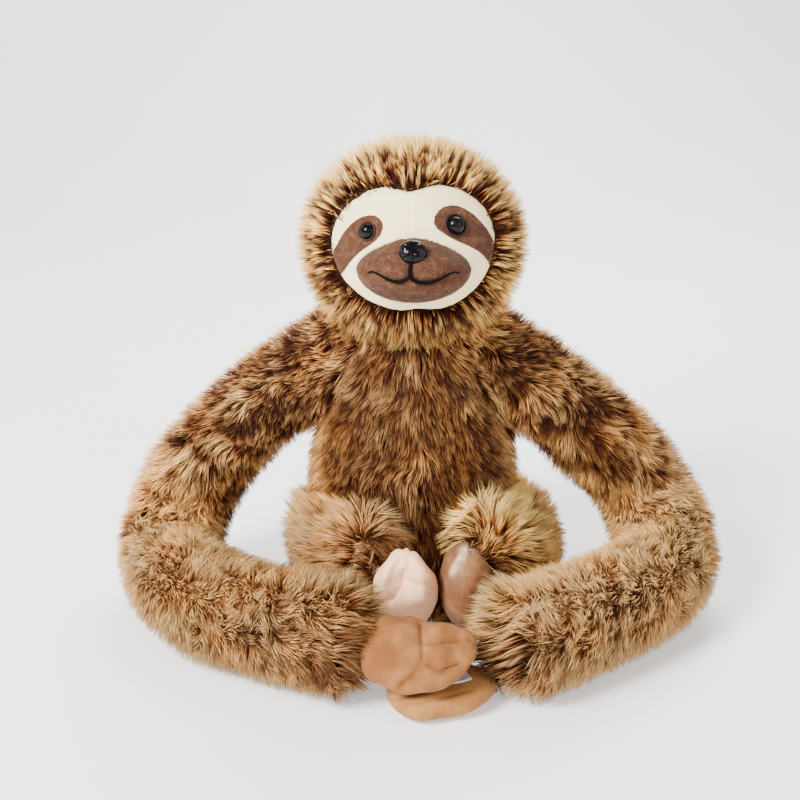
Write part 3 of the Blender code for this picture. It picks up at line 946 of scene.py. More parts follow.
def coat_mesh(name: str, parts: Sequence[Strands]) -> Object:
    """Joins strands into one mesh with its bake map and its tints.

    Args:
        name: the piece's name.
        parts: the strands, one entry for each form.

    Returns:
        The new object.
    """
    points, loops, sizes, maps, piles = [], [], [], [], []
    start = 0
    for part in parts:
        form, count = part.form, len(part.points)
        points.append(part.points.reshape(-1, 3))
        loops.append((form.loops[None] + form.count * np.arange(count)[:, None] + start).ravel())
        sizes.append(np.tile(form.sizes, count))
        maps.append((part.patches[:, None] + form.corners[None]).reshape(-1, 2))
        pile = np.ones((count, form.count, 4), np.float32)
        pile[:, :, 0] = form.shares()[None]
        pile[:, :, 1] = part.tints[:, 0:1]
        pile[:, :, 2] = part.tints[:, 1:2]
        piles.append(pile.reshape(-1, 4))
        start += form.count * count
    obj = mesh_from_arrays(name, np.vstack(points), np.concatenate(loops), np.concatenate(sizes))
    layer = obj.data.uv_layers.new(name="OFBake")
    layer.data.foreach_set("uv", np.vstack(maps).astype(np.float32).ravel())
    attribute = obj.data.color_attributes.new("pile", "FLOAT_COLOR", "POINT")
    attribute.data.foreach_set("color", np.vstack(piles).ravel())
    return obj


@dataclass
class Coat:
    """The pile of one part. Each kind of part says how its pile lies."""

    hide: Hide
    growth: Growth
    seed: int  # the start of its own chance

    PARTING = 0.004  # where the trunk's front piece ends and its back piece starts, along Y
    RAISE = 45.0  # degrees that a strand is raised where its way points out of the skin
    SPARE = 2.2  # roots strewn for each that is kept
    MARGIN = 0.005  # the empty edge of the map
    SUNK = 0.0008  # how deep a root sits in the skin
    TURNING = 0.16  # radians that a strand strays sideways by chance
    STANDS = (6.0, 12.0, 90.0)  # degrees: the chance in how a root stands, and the least and most
    LEANS = (9.0, 6.0, 90.0)  # and in how a tip does
    LENGTHS = (0.78, 1.12)  # shares of the usual length
    SHORTEST = 0.3  # the least that places may shorten it to
    WIDTHS = (0.75, 1.25)
    PULLS = (0.35, 1.3)
    BEND_PULL = 0.45  # how much of its tip's pull a bend feels
    CLUMP_TONE = 0.62  # how much of its tone a strand shares with its clump
    SPOTTED = (0.25, 0.95)  # the heights of the speckle field between which a spot darkens
    ROLL = 0.35  # how unevenly the strands are rolled
    BENT = Tuft(1)
    STRAIGHT = Tuft(0)

    def __post_init__(self) -> None:
        """Starts its chance and measures its part."""
        self.rng = np.random.default_rng(SEED + self.seed)
        self.turns = Waves(self.rng, 0.022)
        self.tones = Waves(self.rng, 0.018)
        self.specks = Waves(self.rng, 0.0075)
        self.measure()

    def measure(self) -> None:
        """Finds the places that the pile is laid out from."""

    def unwrap(self, points: Array) -> Array:
        """The place of each point on an unwrap of the part, from 0 to 1."""
        raise NotImplementedError

    def lie(self, points: Array) -> Array:
        """The way that the pile lies at each point."""
        raise NotImplementedError

    def vary(self, points: Array, normals: Array) -> tuple[Array, Array, Array]:
        """The length, stand and mark of the pile at each point, as a factor, degrees and a shift."""
        raise NotImplementedError

    def clear(self, spine: Array) -> Array:
        """Which strands pass through no cloth."""
        return np.ones(len(spine), bool)

    def scatter(self, node: str, front: bool | None) -> tuple[Array, Array, Array]:
        """Strews roots evenly over a part.

        Args:
            node: the solid whose skin is used.
            front: only its front half, only its back half, or all of it.

        Returns:
            The roots' places and normals, and the middle of each one's patch on the map. No two share a patch.
        """
        hide, growth = self.hide, self.growth
        triangles = hide.triangles[hide.owners == FURRY.index(node)]
        corners = hide.points[triangles]
        if front is not None:
            keep = (corners[..., 1].mean(1) < self.PARTING) == front
            triangles, corners = triangles[keep], corners[keep]
        area = np.linalg.norm(np.cross(corners[:, 1] - corners[:, 0], corners[:, 2] - corners[:, 0]), axis=1)
        area = area * (1.0 + growth.felt(corners.mean(1), "density"))
        needed = growth.strands + growth.hairs
        wanted = int(needed * self.SPARE)
        picked = self.rng.choice(len(triangles), wanted, p=area / area.sum())
        shares = self.rng.dirichlet((1.0, 1.0, 1.0), wanted)[..., None]
        points = (corners[picked] * shares).sum(1)
        normals = unit((hide.normals[triangles[picked]] * shares).sum(1))
        flat = self.unwrap(points)
        low, high = flat.min(0), flat.max(0)
        cells = np.minimum(((flat - low) / (high - low) * Tuft.CELLS).astype(int), Tuft.CELLS - 1)
        number = cells[:, 0] * Tuft.CELLS + cells[:, 1]
        first = np.sort(np.unique(number, return_index=True)[1])[:needed]
        patches = self.MARGIN + (1.0 - 2.0 * self.MARGIN) * (cells[first] + 0.5) / Tuft.CELLS
        return points[first], normals[first], patches

    def grow(self, name: str, points: Array, normals: Array, patches: Array) -> Object:
        """Grows the strands from their roots.

        Args:
            name: the piece's name.
            points: the roots' places.
            normals: the skin's normals there.
            patches: the middle of each one's patch on the map.

        Returns:
            The new piece.
        """
        rng, growth = self.rng, self.growth
        count = len(points)
        factor, extra, shift = self.vary(points, normals)
        way = unit(unit(self.lie(points)) + growth.felt(points, "toward"))
        rise = (way * normals).sum(1, keepdims=True)
        extra = extra + growth.felt(points, "stand") + self.RAISE * np.clip(rise[:, 0], 0.0, 1.0)
        way = unit(way - rise * normals)
        turn = growth.swirl * self.turns.at(points) + rng.normal(0.0, self.TURNING, count)
        way = way * np.cos(turn)[:, None] + np.cross(normals, way) * np.sin(turn)[:, None]
        factor = np.maximum(factor + growth.felt(points, "length"), self.SHORTEST)
        half = 0.5 * (growth.length * factor * rng.uniform(*self.LENGTHS, count))[:, None]
        middle = points + self.raised(way, normals, growth.stand + extra, self.STANDS) * half
        tip = middle + self.raised(way, normals, growth.lean + extra, self.LEANS) * half
        spine = np.stack([points - self.SUNK * normals, middle, tip], 1)
        leader, tone = self.clumps(points)
        pull = (rng.uniform(*self.PULLS, count) * growth.pull)[:, None]
        spine[:, 1] += self.BEND_PULL * pull * (spine[leader, 1] - spine[:, 1])
        spine[:, 2] += pull * (spine[leader, 2] - spine[:, 2])
        own = rng.uniform(0.0, 1.0, count)
        tone = np.clip(self.CLUMP_TONE * tone + (1.0 - self.CLUMP_TONE) * own, 0.0, 1.0)
        mark = growth.mark + (shift + growth.felt(points, "mark")) + growth.patchy * self.tones.at(points)
        mark = np.clip(mark - growth.spots * ramp(self.specks.at(points), *self.SPOTTED), 0.0, 1.0)
        width = growth.width * rng.uniform(*self.WIDTHS, count)
        across = unit(normals + self.ROLL * rng.normal(size=(count, 3)))
        tints = np.stack([tone, mark], 1)
        clear = self.clear(spine)
        thick = np.arange(count) < growth.strands * count / (growth.strands + growth.hairs)
        thick, fine = thick & clear, ~thick & clear
        bent = self.BENT.grow(spine[thick], across[thick], width[thick])
        straight = self.STRAIGHT.grow(spine[fine][:, [0, 2]], across[fine], growth.fineness * width[fine])
        return coat_mesh(name, [
            Strands(self.BENT, bent, patches[thick], tints[thick]),
            Strands(self.STRAIGHT, straight, patches[fine], tints[fine]),
        ])

    def raised(self, way: Array, normals: Array, degrees: Array, habit: tuple[float, float, float]) -> Array:
        """Directions that stand up from the skin, each by its angle give or take the chance of a habit."""
        spread, least, most = habit
        angles = np.radians(np.clip(degrees + self.rng.normal(0.0, spread, len(way)), least, most))[:, None]
        return np.cos(angles) * way + np.sin(angles) * normals

    def clumps(self, points: Array) -> tuple[Array, Array]:
        """The leader that each strand is drawn to, and a tone for each clump."""
        count = len(points)
        leaders = self.rng.permutation(count)[: max(1, int(count / self.growth.clump))]
        found = np.array([number for _, number, _ in nearest_of(points, leaders, points)])
        return found, self.rng.uniform(0.0, 1.0, count)[found]

    def build(self, name: str, node: str, material: Material, front: bool | None = None) -> None:
        """Grows, dresses and settles the pile of one part."""
        settle(self.grow(name, *self.scatter(node, front)), material)


def turned(first: Array, second: Array) -> Array:
    """The turn of a direction in a plane, from 0 to 1."""
    return np.arctan2(first, second) / (2 * math.pi) + 0.5


class HeadCoat(Coat):
    """The head's pile, which stands out all round the face and lies back over the crown."""

    FORELOCK = (-0.004, -0.03, 0.256)
    PARTED = 0.003  # where the crown's pile parts, along X
    NEAR = 0.016  # roots closer to the face may pierce its cloth
    # Each pair says where a zone starts and where it is full.
    BEHIND = (0.005, 0.045)  # back from the middle: pile that hangs
    CROWN = (0.02, 0.045)  # up from the middle: pile that parts
    CHEEKS = (-0.02, -0.045)  # down from the middle: pile that droops
    PART_LINE, PART_REACH = 0.004, 0.014
    HANGING = np.array([0.0, 0.1, -1.0])
    RIM = (0.003, 0.011)  # out from the face: short pile, here full at the start
    OUTER = (0.007, 0.018)  # pale pile
    STREAKED = (0.01, 0.018)  # dark streaks, here full at the start
    STREAKS = (37.0, 3.0, 11.0)  # how many, and how far and how often they stray
    CHIN, NOT_CHIN = (-0.018, -0.042), (-0.01, 0.03)  # down from the middle, and back
    BROW, BROW_STRETCH = (0.002, 0.011), np.array((1.5, 1.0, 1.0))
    BROWN_BEHIND = (0.005, 0.035)

    def measure(self) -> None:
        """Finds the head and its face."""
        self.centre = box_of("head")[2]
        low, _, middle = box_of("face_panel")
        self.face = np.array([middle[0], low[1], middle[2]])
        self.panel = tree_over("face_panel")

    def unwrap(self, points: Array) -> Array:
        """An equal-area map with its pole at the face."""
        out = unit(points - self.centre)
        return np.stack([turned(out[:, 0], -out[:, 2]), 0.5 + 0.5 * out[:, 1]], 1)

    def lie(self, points: Array) -> Array:
        """Away from the face, and down behind."""
        _, back, up = (points - self.centre).T
        behind = ramp(back, *self.BEHIND)
        way = unit(points - self.face) * (1.0 - behind[:, None]) + self.HANGING * behind[:, None]
        offset = points[:, 0] - self.PARTED
        crown = ramp(up, *self.CROWN) * (1.0 - behind)
        way[:, 0] += crown * 0.9 * np.tanh(offset / self.PART_LINE) * bell(offset, self.PART_REACH)
        way[:, 2] -= 0.8 * ramp(up, *self.CHEEKS) * (1.0 - behind)
        return way

    def vary(self, points: Array, normals: Array) -> tuple[Array, Array, Array]:
        """Shorter and streaked by the face, longer under the chin, browner behind, with painted shade on its left
        side.
        """
        side, back, up = (points - self.centre).T
        gap = distance_to(self.panel, points)
        rim = 1.0 - ramp(gap, *self.RIM)
        chin = ramp(up, *self.CHIN) * (1.0 - ramp(back, *self.NOT_CHIN))
        outer = ramp(gap, *self.OUTER)
        brow = gaps(points / self.BROW_STRETCH, self.FORELOCK / self.BROW_STRETCH)
        brow = 1.0 - ramp(brow, *self.BROW)
        around = np.arctan2(points[:, 0] - self.face[0], points[:, 2] - self.face[2])
        number, stray, often = self.STREAKS
        streak = ramp(np.sin(number * around + stray * np.sin(often * around)), -0.2, 0.7)
        zone = 1.0 - ramp(gap, *self.STREAKED)
        # painted shade: the head's left side, away from the key lamp, is a little darker; the back is also browner
        shade = 0.06 * ramp(side, 0.005, 0.045) + 0.42 * ramp(back, *self.BROWN_BEHIND)
        shade = shade + 0.1 * ramp(-side, 0.01, 0.035) * (1.0 - outer)
        shift = 0.44 * outer + zone * (0.02 - 0.62 * streak) - 0.34 * brow - 0.4 * chin - shade
        return 1.0 - 0.26 * rim + 0.34 * chin, 20.0 * rim - 26.0 * chin * (1.0 - rim), shift

    def clear(self, spine: Array) -> Array:
        """Those that don't pierce the face panel."""
        kept = super().clear(spine)
        for number in np.nonzero(distance_to(self.panel, spine[:, 0]) < self.NEAR)[0]:
            root = Vector(spine[number, 0])
            reach = Vector(spine[number, 2]) - root
            kept[number] = self.panel.ray_cast(root, reach.normalized(), reach.length)[0] is None
        return kept


class TrunkCoat(Coat):
    """The trunk's pile, which lies down and a little outwards."""

    SEAM = 0.002  # where the middle seam runs, along X
    SEAM_LINE, SEAM_REACH = 0.01, 0.006
    FRONT = (0.0, -0.02)  # along Y
    SIDEWAYS = (0.6, 0.95)  # how far to a side the skin looks
    SHADED_LOW = (0.02, 0.09)  # up from the lowest point, over which painted shade darkens the pile and fades out
    NECK = (0.055, 0.025)  # down from the highest point

    def measure(self) -> None:
        """Finds the trunk."""
        low, high, self.centre = box_of("trunk")
        self.low, self.high = low[2], high[2]

    def unwrap(self, points: Array) -> Array:
        """Round the trunk, and down it."""
        out = points - self.centre
        up = (points[:, 2] - self.low) / (self.high - self.low)
        return np.stack([turned(out[:, 0], -out[:, 1]), up], 1)

    def lie(self, points: Array) -> Array:
        """Down, and away from the middle seam in front."""
        way = np.zeros_like(points)
        way[:, 2] = -1.0
        offset = points[:, 0] - self.SEAM
        way[:, 0] = 0.28 * ramp(points[:, 1], *self.FRONT) * np.tanh(offset / self.SEAM_LINE)
        return way

    def vary(self, points: Array, normals: Array) -> tuple[Array, Array, Array]:
        """Painted shade low down between the legs, paler and fuller at the sides, and a paler ridge along the
        middle seam.
        """
        side = ramp(np.abs(normals[:, 0]), *self.SIDEWAYS)
        # painted shade: darker low down, between the legs
        low = 1.0 - ramp(points[:, 2], *(self.low + height for height in self.SHADED_LOW))
        seam = bell(points[:, 0] - self.SEAM, self.SEAM_REACH) * ramp(points[:, 1], *self.FRONT)
        neck = ramp(points[:, 2], *(self.high - depth for depth in self.NECK))
        return 1.0 + 0.15 * neck, 12.0 * seam + 16.0 * side, 0.1 * seam - 0.16 * low + 0.34 * side


@dataclass
class LimbCoat(Coat):
    """The pile of an arm or leg, which follows the limb's line."""

    route: Route
    towards_end: float = 1.0  # 1 lies towards the hand or foot, -1 away from it
    cuff: float = 0.9  # the share of the limb at which the cuff starts
    cuff_mark: float = -0.1
    cuff_length: float = 0.0
    cuff_stand: float = 0.0
    belly: float = 0.0  # how much darker the side that looks forward is
    behind: float = 0.0  # how much browner the parts furthest back are
    lay: float = 0.0  # degrees that the pile lies lower on that side

    SAG = np.array([0.0, 0.0, -0.25])
    FORWARD = (0.35, 0.9)  # how far forward the skin looks
    FURTHEST_BACK = (-0.005, 0.025)  # along Y

    def unwrap(self, points: Array) -> Array:
        """Round the limb, and along it."""
        return self.route.unwrap(points)

    def lie(self, points: Array) -> Array:
        """Along the limb, and a little down."""
        way = self.route.ways[self.route.nearest(points)] * self.towards_end
        return way + self.SAG

    def vary(self, points: Array, normals: Array) -> tuple[Array, Array, Array]:
        """Another length and stand at the cuff, and darker in front."""
        cuff = ramp(self.route.shares[self.route.nearest(points)], self.cuff, 1.0)
        front = ramp(0.3 * normals[:, 2] - 0.954 * normals[:, 1], *self.FORWARD)
        shift = self.cuff_mark * cuff + self.belly * front - self.behind * ramp(points[:, 1], *self.FURTHEST_BACK)
        return 1.0 + self.cuff_length * cuff, self.cuff_stand * cuff - self.lay * front, shift


# ---------------------------------------------------------------- smooth pieces over one solid
@dataclass
class Piece:
    """A smooth piece that follows one solid."""

    node: str
    name: str
    slot: Slot
    finish: Material
    grow: float = 0.0
    voxel: float = 0.0
    smoothing: int = 3
    fill: float | None = None

    def shaped(self, points: Array, normals: Array) -> Array:
        """Where the corners go. In the plain piece they stay."""
        return points

    def finished(self, obj: Object, points: Array) -> None:
        """The last work on the shape, given where the corners started. The plain piece has none."""

    def build(self) -> None:
        """Builds the piece over its solid."""
        obj = merged_copy(self.name, [self.node], self.grow)
        if self.voxel:
            remeshed(obj, self.voxel, self.smoothing)
        points = points_of(obj.data)
        move_points(obj.data, self.shaped(points, normals_of(obj.data)))
        self.finished(obj, points)
        settle(obj, self.finish, [self.node])


class FacePanel(Piece):
    """The cream panel, with its middle seam and a soft dent at each eye."""

    FACING = (0.2, 0.6)  # how far forward the cloth looks
    SEAM_FROM = (0.226, 0.232)  # the heights at which the seam starts and is full
    SEAM_X = -0.002
    SEAM_DEPTH = 0.00045
    SEAM_WIDTH = 0.0007
    DENT_DEPTH = 0.0006
    DENT_REACH = 0.007

    def shaped(self, points: Array, normals: Array) -> Array:
        """Drawn in along the seam and round the eyes."""
        facing = ramp(-normals[:, 1], *self.FACING)
        above = ramp(points[:, 2], *self.SEAM_FROM)
        moved = points - normals * (
            self.SEAM_DEPTH * (bell(points[:, 0] - self.SEAM_X, self.SEAM_WIDTH) * facing * above)
        )[:, None]
        for side in SIDES:
            gap = np.linalg.norm((points - box_of(f"eye_{side}")[2])[:, [0, 2]], axis=1)
            moved = moved - normals * (self.DENT_DEPTH * bell(gap, self.DENT_REACH) * facing)[:, None]
        return moved


class Muzzle(Piece):
    """The muzzle, drawn in along the stitched mouth and full between the stitches."""

    GROOVE_DEPTH = 0.0007
    GROOVE_REACH = 0.0022
    LIP_HEIGHT = 0.0005
    LIP_AT = 0.0052  # from the thread
    LIP_REACH = 0.003

    def shaped(self, points: Array, normals: Array) -> Array:
        """A groove below the thread, and a lip on each side of it."""
        thread = points_of(bpy.data.objects["mouth_thread"].data)
        gap = np.array([found[2] for found in nearest_of(thread, range(len(thread)), points)])
        move = self.LIP_HEIGHT * bell(gap - self.LIP_AT, self.LIP_REACH)
        move = move - self.GROOVE_DEPTH * bell(gap, self.GROOVE_REACH)
        return points + normals * (move * ramp(-normals[:, 1], 0.0, 0.3))[:, None]


class MouthStitch(Piece):
    """The smile and the line below the nose, in thick thread drawn into the cloth."""

    THICKER = 0.00056  # in the middle
    THINNER = -0.00008  # at both ends
    PROUD = np.array([0.0, -0.0003, 0.0])

    def shaped(self, points: Array, normals: Array) -> Array:
        """Fullest in the middle and drawn thin at both ends."""
        middle, half = (points[:, 0].max() + points[:, 0].min()) / 2, np.ptp(points[:, 0]) / 2
        out = ramp(np.abs(points[:, 0] - middle) / half, 0.15, 1.0)
        grow = self.THICKER + (self.THINNER - self.THICKER) * out
        return points + normals * grow[:, None] + self.PROUD

    def finished(self, obj: Object, points: Array) -> None:
        """Rounds the thread."""
        apply_modifier(obj, "SUBSURF", levels=1, render_levels=1)
        obj.data.shade_smooth()


class TouchTape(Piece):
    """The soft strip of touch tape between the hands, with softened edges and a slight wave."""

    WAVE = 0.0005
    SHRINK = 0.86
    BACK = np.array([0.0, 0.0016, 0.0])

    def shaped(self, points: Array, normals: Array) -> Array:
        """A little smaller than its solid, and not quite flat."""
        middle = points.mean(0)
        moved = middle + self.SHRINK * (points - middle) + self.BACK
        moved[:, 2] += self.WAVE * Waves(np.random.default_rng(SEED), 0.012).at(moved)
        return moved


# ---------------------------------------------------------------- the eyes and the nose
@dataclass
class SafetyEye:
    """A glossy eye with its rim, pressed through the patch."""

    side: str
    plastic: Material
    rim_finish: Material
    radius: float
    rim: float
    shift: Place
    rim_thickness: float = 0.00058
    rim_steps: int = 64
    rim_sides: int = 10
    search: float = 0.01  # how far above and below the cloth is looked for
    head: Place = (-0.0005, -0.006, 0.2185)  # what the eye looks away from

    def build(self) -> None:
        """Builds the eye's dome and its rim."""
        node = f"eye_{self.side}"
        low, high = (Vector(corner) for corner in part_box(node))
        centre = (low + high) / 2 + Vector(self.shift)
        deselect()
        bpy.ops.mesh.primitive_uv_sphere_add(segments=48, ring_count=24, radius=self.radius, location=centre)
        eye = bpy.context.object
        eye.name = f"eye_ball_{self.side}"
        bpy.ops.object.transform_apply(location=True, rotation=True, scale=True)
        eye.data.shade_smooth()
        settle(eye, self.plastic, [node])
        self.build_rim(centre)

    def build_rim(self, centre: Vector) -> None:
        """The washer's edge round the eye, which follows the cloth that it presses on."""
        patch = tree_over(f"eye_velour_{self.side}")
        axis = Vector([place - origin for place, origin in zip(centre, self.head)]).normalized()
        side = axis.cross(Vector((0.0, 0.0, 1.0))).normalized()
        up = side.cross(axis)
        middles = []
        for step in range(self.rim_steps):
            turn = 2 * math.pi * step / self.rim_steps
            start = centre + self.rim * (math.cos(turn) * side + math.sin(turn) * up)
            hit = patch.ray_cast(start + self.search * axis, -axis, 2 * self.search)[0]
            middles.append(tuple((hit or start) + 0.5 * self.rim_thickness * axis))
        line = np.array(middles)
        for _ in range(3):
            line = 0.5 * line + 0.25 * (np.roll(line, 1, 0) + np.roll(line, -1, 0))
        out, axis = line - np.array(centre), np.array(axis)
        away = unit(out - (out @ axis)[:, None] * axis)
        angles = (2 * math.pi * np.arange(self.rim_sides) / self.rim_sides)[None, :, None]
        ring = np.cos(angles) * away[:, None] + np.sin(angles) * axis[None, None]
        points = (line[:, None] + self.rim_thickness * ring).reshape(-1, 3)
        index = np.arange(len(points)).reshape(self.rim_steps, self.rim_sides)
        after, beside = np.roll(index, -1, 0), np.roll(index, -1, 1)
        faces = np.stack([index, beside, np.roll(after, -1, 1), after], -1).reshape(-1, 4)
        rim = mesh_from_arrays(f"eye_rim_{self.side}", points, faces.ravel(), np.full(len(faces), 4))
        activate(rim)
        bpy.ops.object.mode_set(mode="EDIT")
        bpy.ops.mesh.select_all(action="SELECT")
        bpy.ops.mesh.normals_make_consistent(inside=False)
        bpy.ops.object.mode_set(mode="OBJECT")
        settle(rim, self.rim_finish)


@dataclass
class Nose:
    """The moulded nose, wide above and drawn in below, with a pebbled face."""

    plastic: Material
    half: Place = (0.0072, 0.0054, 0.0064)
    narrowing: float = 0.14  # below
    crowning: float = 0.12  # above
    squareness: float = 0.84
    lower: float = 0.0004
    pebble: float = 0.00038
    pebbles: int = 46
    pebble_reach: float = 0.075
    tilt: float = math.radians(-26)

    def build(self) -> None:
        """Builds the nose over its solid."""
        deselect()
        bpy.ops.mesh.primitive_ico_sphere_add(subdivisions=6, radius=1.0, location=(0, 0, 0))
        obj = bpy.context.object
        obj.name = "nose_button"
        ball = unit(points_of(obj.data))
        z = ball[:, 2]
        shape = np.sign(ball) * np.abs(ball) ** self.squareness
        shape[:, 0] *= 1.0 - self.narrowing * ramp(z, 0.15, -1.0) - self.crowning * ramp(z, 0.3, 1.0)
        shape = shape * np.array(self.half)
        spots = unit(np.random.default_rng(5).normal(size=(self.pebbles, 3)))
        near = (ball @ spots.T).max(1)
        domes = ramp(1.0 - 2.0 * (1.0 - near) / self.pebble_reach, -0.2, 1.0)
        shape += ball * (self.pebble * (domes - 0.5))[:, None]
        cos, sin = math.cos(self.tilt), math.sin(self.tilt)
        turn = np.array([[1, 0, 0], [0, cos, -sin], [0, sin, cos]])
        move_points(obj.data, box_of("nose")[2] + shape @ turn.T - np.array([0.0, 0.0, self.lower]))
        obj.data.shade_smooth()
        settle(obj, self.plastic, ["nose"])


# ---------------------------------------------------------------- hands and feet
@dataclass(frozen=True)
class Crease:
    """A stitched or folded line along which the cloth is drawn in."""

    line: tuple[Place, ...]
    depth: float
    width: float

    def felt(self, points: Array) -> Array:
        """How deep the crease is at each point."""
        gap = np.full(len(points), np.inf)
        for start, end in zip(np.array(self.line[:-1]), np.array(self.line[1:])):
            along = end - start
            share = np.clip((points - start) @ along / (along @ along), 0.0, 1.0)
            gap = np.minimum(gap, np.linalg.norm(points - start - share[:, None] * along, axis=1))
        return self.depth * bell(gap, self.width, 1.4)


@dataclass(frozen=True)
class Push:
    """A place where the stuffing swells or gives way."""

    at: Place
    by: Place
    reach: float

    def moves(self, points: Array) -> Array:
        """How far each point moves."""
        return bell(gaps(points, self.at), self.reach)[:, None] * np.array(self.by)


HAND_OVER = (
    Push((-0.015, -0.124, 0.043), (-0.0008, 0.001, 0.0052), 0.0085),
    Push((0.009, -0.113, 0.046), (0.0, -0.0016, -0.0046), 0.0088),
    Push((0.024, -0.115, 0.045), (-0.0006, -0.001, -0.004), 0.0088),
    Push((-0.007, -0.143, 0.025), (0.0, -0.0012, -0.0048), 0.01),
    Push((0.009, -0.145, 0.027), (0.0, -0.0014, -0.0024), 0.008),
    Push((0.028, -0.139, 0.026), (-0.0012, 0.001, 0.0026), 0.007),
    Push((-0.022, -0.137, 0.029), (-0.001, -0.001, -0.003), 0.008),
    Push((0.013, -0.128, 0.043), (0.0, -0.001, 0.0012), 0.0045),
    Push((0.012, -0.14, 0.0378), (0.0, -0.0016, 0.0018), 0.0045),
    Push((0.006, -0.148, 0.03), (0.0, -0.002, 0.0), 0.006),
    Push((-0.004, -0.141, 0.035), (0.0, 0.002, -0.0022), 0.0065),
    Crease(((0.0035, -0.1215, 0.0465), (0.0038, -0.1325, 0.0418), (0.0043, -0.1409, 0.0359)), 0.0036, 0.002),
    Crease(((0.0043, -0.1409, 0.0359), (-0.0012, -0.1455, 0.0319), (-0.007, -0.1466, 0.0275)), 0.0036, 0.0022),
    Crease(((0.004, -0.1345, 0.0407), (0.013, -0.1345, 0.042), (0.0225, -0.132, 0.0413)), 0.0038, 0.0018),
    Crease(((0.0043, -0.1409, 0.0359), (0.0145, -0.145, 0.0332), (0.0215, -0.1425, 0.0345)), 0.0038, 0.0018),
)
HAND_UNDER = (
    Crease(((-0.006, -0.1438, 0.013), (0.0048, -0.145, 0.015), (0.029, -0.135, 0.015)), 0.0012, 0.0018),
    Push((0.032, -0.135, 0.01), (0.0008, -0.002, 0.001), 0.007),
)
FOOT_FRONT = (
    Push((-0.021, -0.064, 0.055), (0.0036, 0.0, -0.0018), 0.0085),
    Push((0.012, -0.064, 0.055), (-0.0036, 0.0, -0.0022), 0.0085),
    Push((-0.006, -0.079, 0.047), (0.0, 0.0036, 0.0), 0.0055),
    Push((0.003, -0.077, 0.05), (0.0, -0.0022, 0.0), 0.0052),
    Push((0.001, -0.077, 0.037), (0.0, -0.003, 0.0), 0.0062),
    Push((-0.015, -0.0745, 0.048), (-0.0002, -0.0022, 0.0), 0.005),
    Push((-0.017, -0.073, 0.033), (0.0, 0.0016, 0.0), 0.006),
    Push((-0.0046, -0.066, 0.06), (0.0, 0.0, 0.0018), 0.011),
    Crease(((-0.005, -0.077, 0.052), (-0.0062, -0.078, 0.046)), 0.003, 0.002),
    Crease(((-0.0062, -0.078, 0.046), (-0.0085, -0.077, 0.04), (-0.0125, -0.0751, 0.032)), 0.004, 0.0024),
    Crease(((-0.0062, -0.078, 0.046), (0.002, -0.0785, 0.044)), 0.0022, 0.0016),
)
FOOT_SIDE = (
    Push((0.017, -0.066, 0.06), (0.003, 0.0, -0.001), 0.007),
    Push((0.015, -0.0625, 0.0495), (0.0022, 0.0, 0.0), 0.0062),
    Push((0.029, -0.069, 0.063), (-0.0002, -0.002, 0.0006), 0.0036),
    Push((0.0252, -0.0746, 0.059), (-0.0006, -0.003, 0.0008), 0.0036),
    Push((0.0216, -0.076, 0.052), (-0.001, -0.0028, 0.0), 0.0036),
    Push((0.027, -0.081, 0.043), (0.0, -0.0014, 0.0), 0.006),
    Crease(((0.032, -0.07, 0.063), (0.03, -0.078, 0.057), (0.027, -0.082, 0.049)), 0.0024, 0.0024),
    Crease(((0.037, -0.074, 0.057), (0.036, -0.0815, 0.05), (0.032, -0.083, 0.042)), 0.0014, 0.002),
)
# painted highlight: the line along the left foot's ridge that catches the key lamp
HIGHLIGHT_RIDGE = Crease(((0.0288, -0.069, 0.063), (0.025, -0.0746, 0.059), (0.0212, -0.0756, 0.051)), 0.7, 0.0028)


@dataclass
class Mitten(Piece):
    """A stuffed velour hand or foot."""

    grow: float = 0.0004
    voxel: float = 0.00052
    smoothing: int = 20
    fill: float | None = 0.7
    shaping: tuple[Crease | Push, ...] = ()
    ridge: Crease | None = None  # where a painted highlight runs along its ridge, its depth a share

    LUMPS = 0.0004

    def shaped(self, points: Array, normals: Array) -> Array:
        """The folds and the soft uneven stuffing."""
        rng = np.random.default_rng(SEED + len(self.node))
        moved = points + normals * (self.LUMPS * (Waves(rng, 0.022).at(points) - 0.3))[:, None]
        for change in self.shaping:
            if isinstance(change, Push):
                moved = moved + change.moves(points)
        folds = [change.felt(points) for change in self.shaping if isinstance(change, Crease)]
        moved = moved - normals * np.max(folds, axis=0)[:, None]
        moved[:, 2] = np.maximum(moved[:, 2], ABOVE_FLOOR)
        return moved

    def finished(self, obj: Object, points: Array) -> None:
        """Notes the painted highlight along its ridge, where it has one, and eases the folds."""
        if self.ridge:
            note(obj.data, "ridge_highlight", self.ridge.felt(points))
        smoothed(obj, 2)


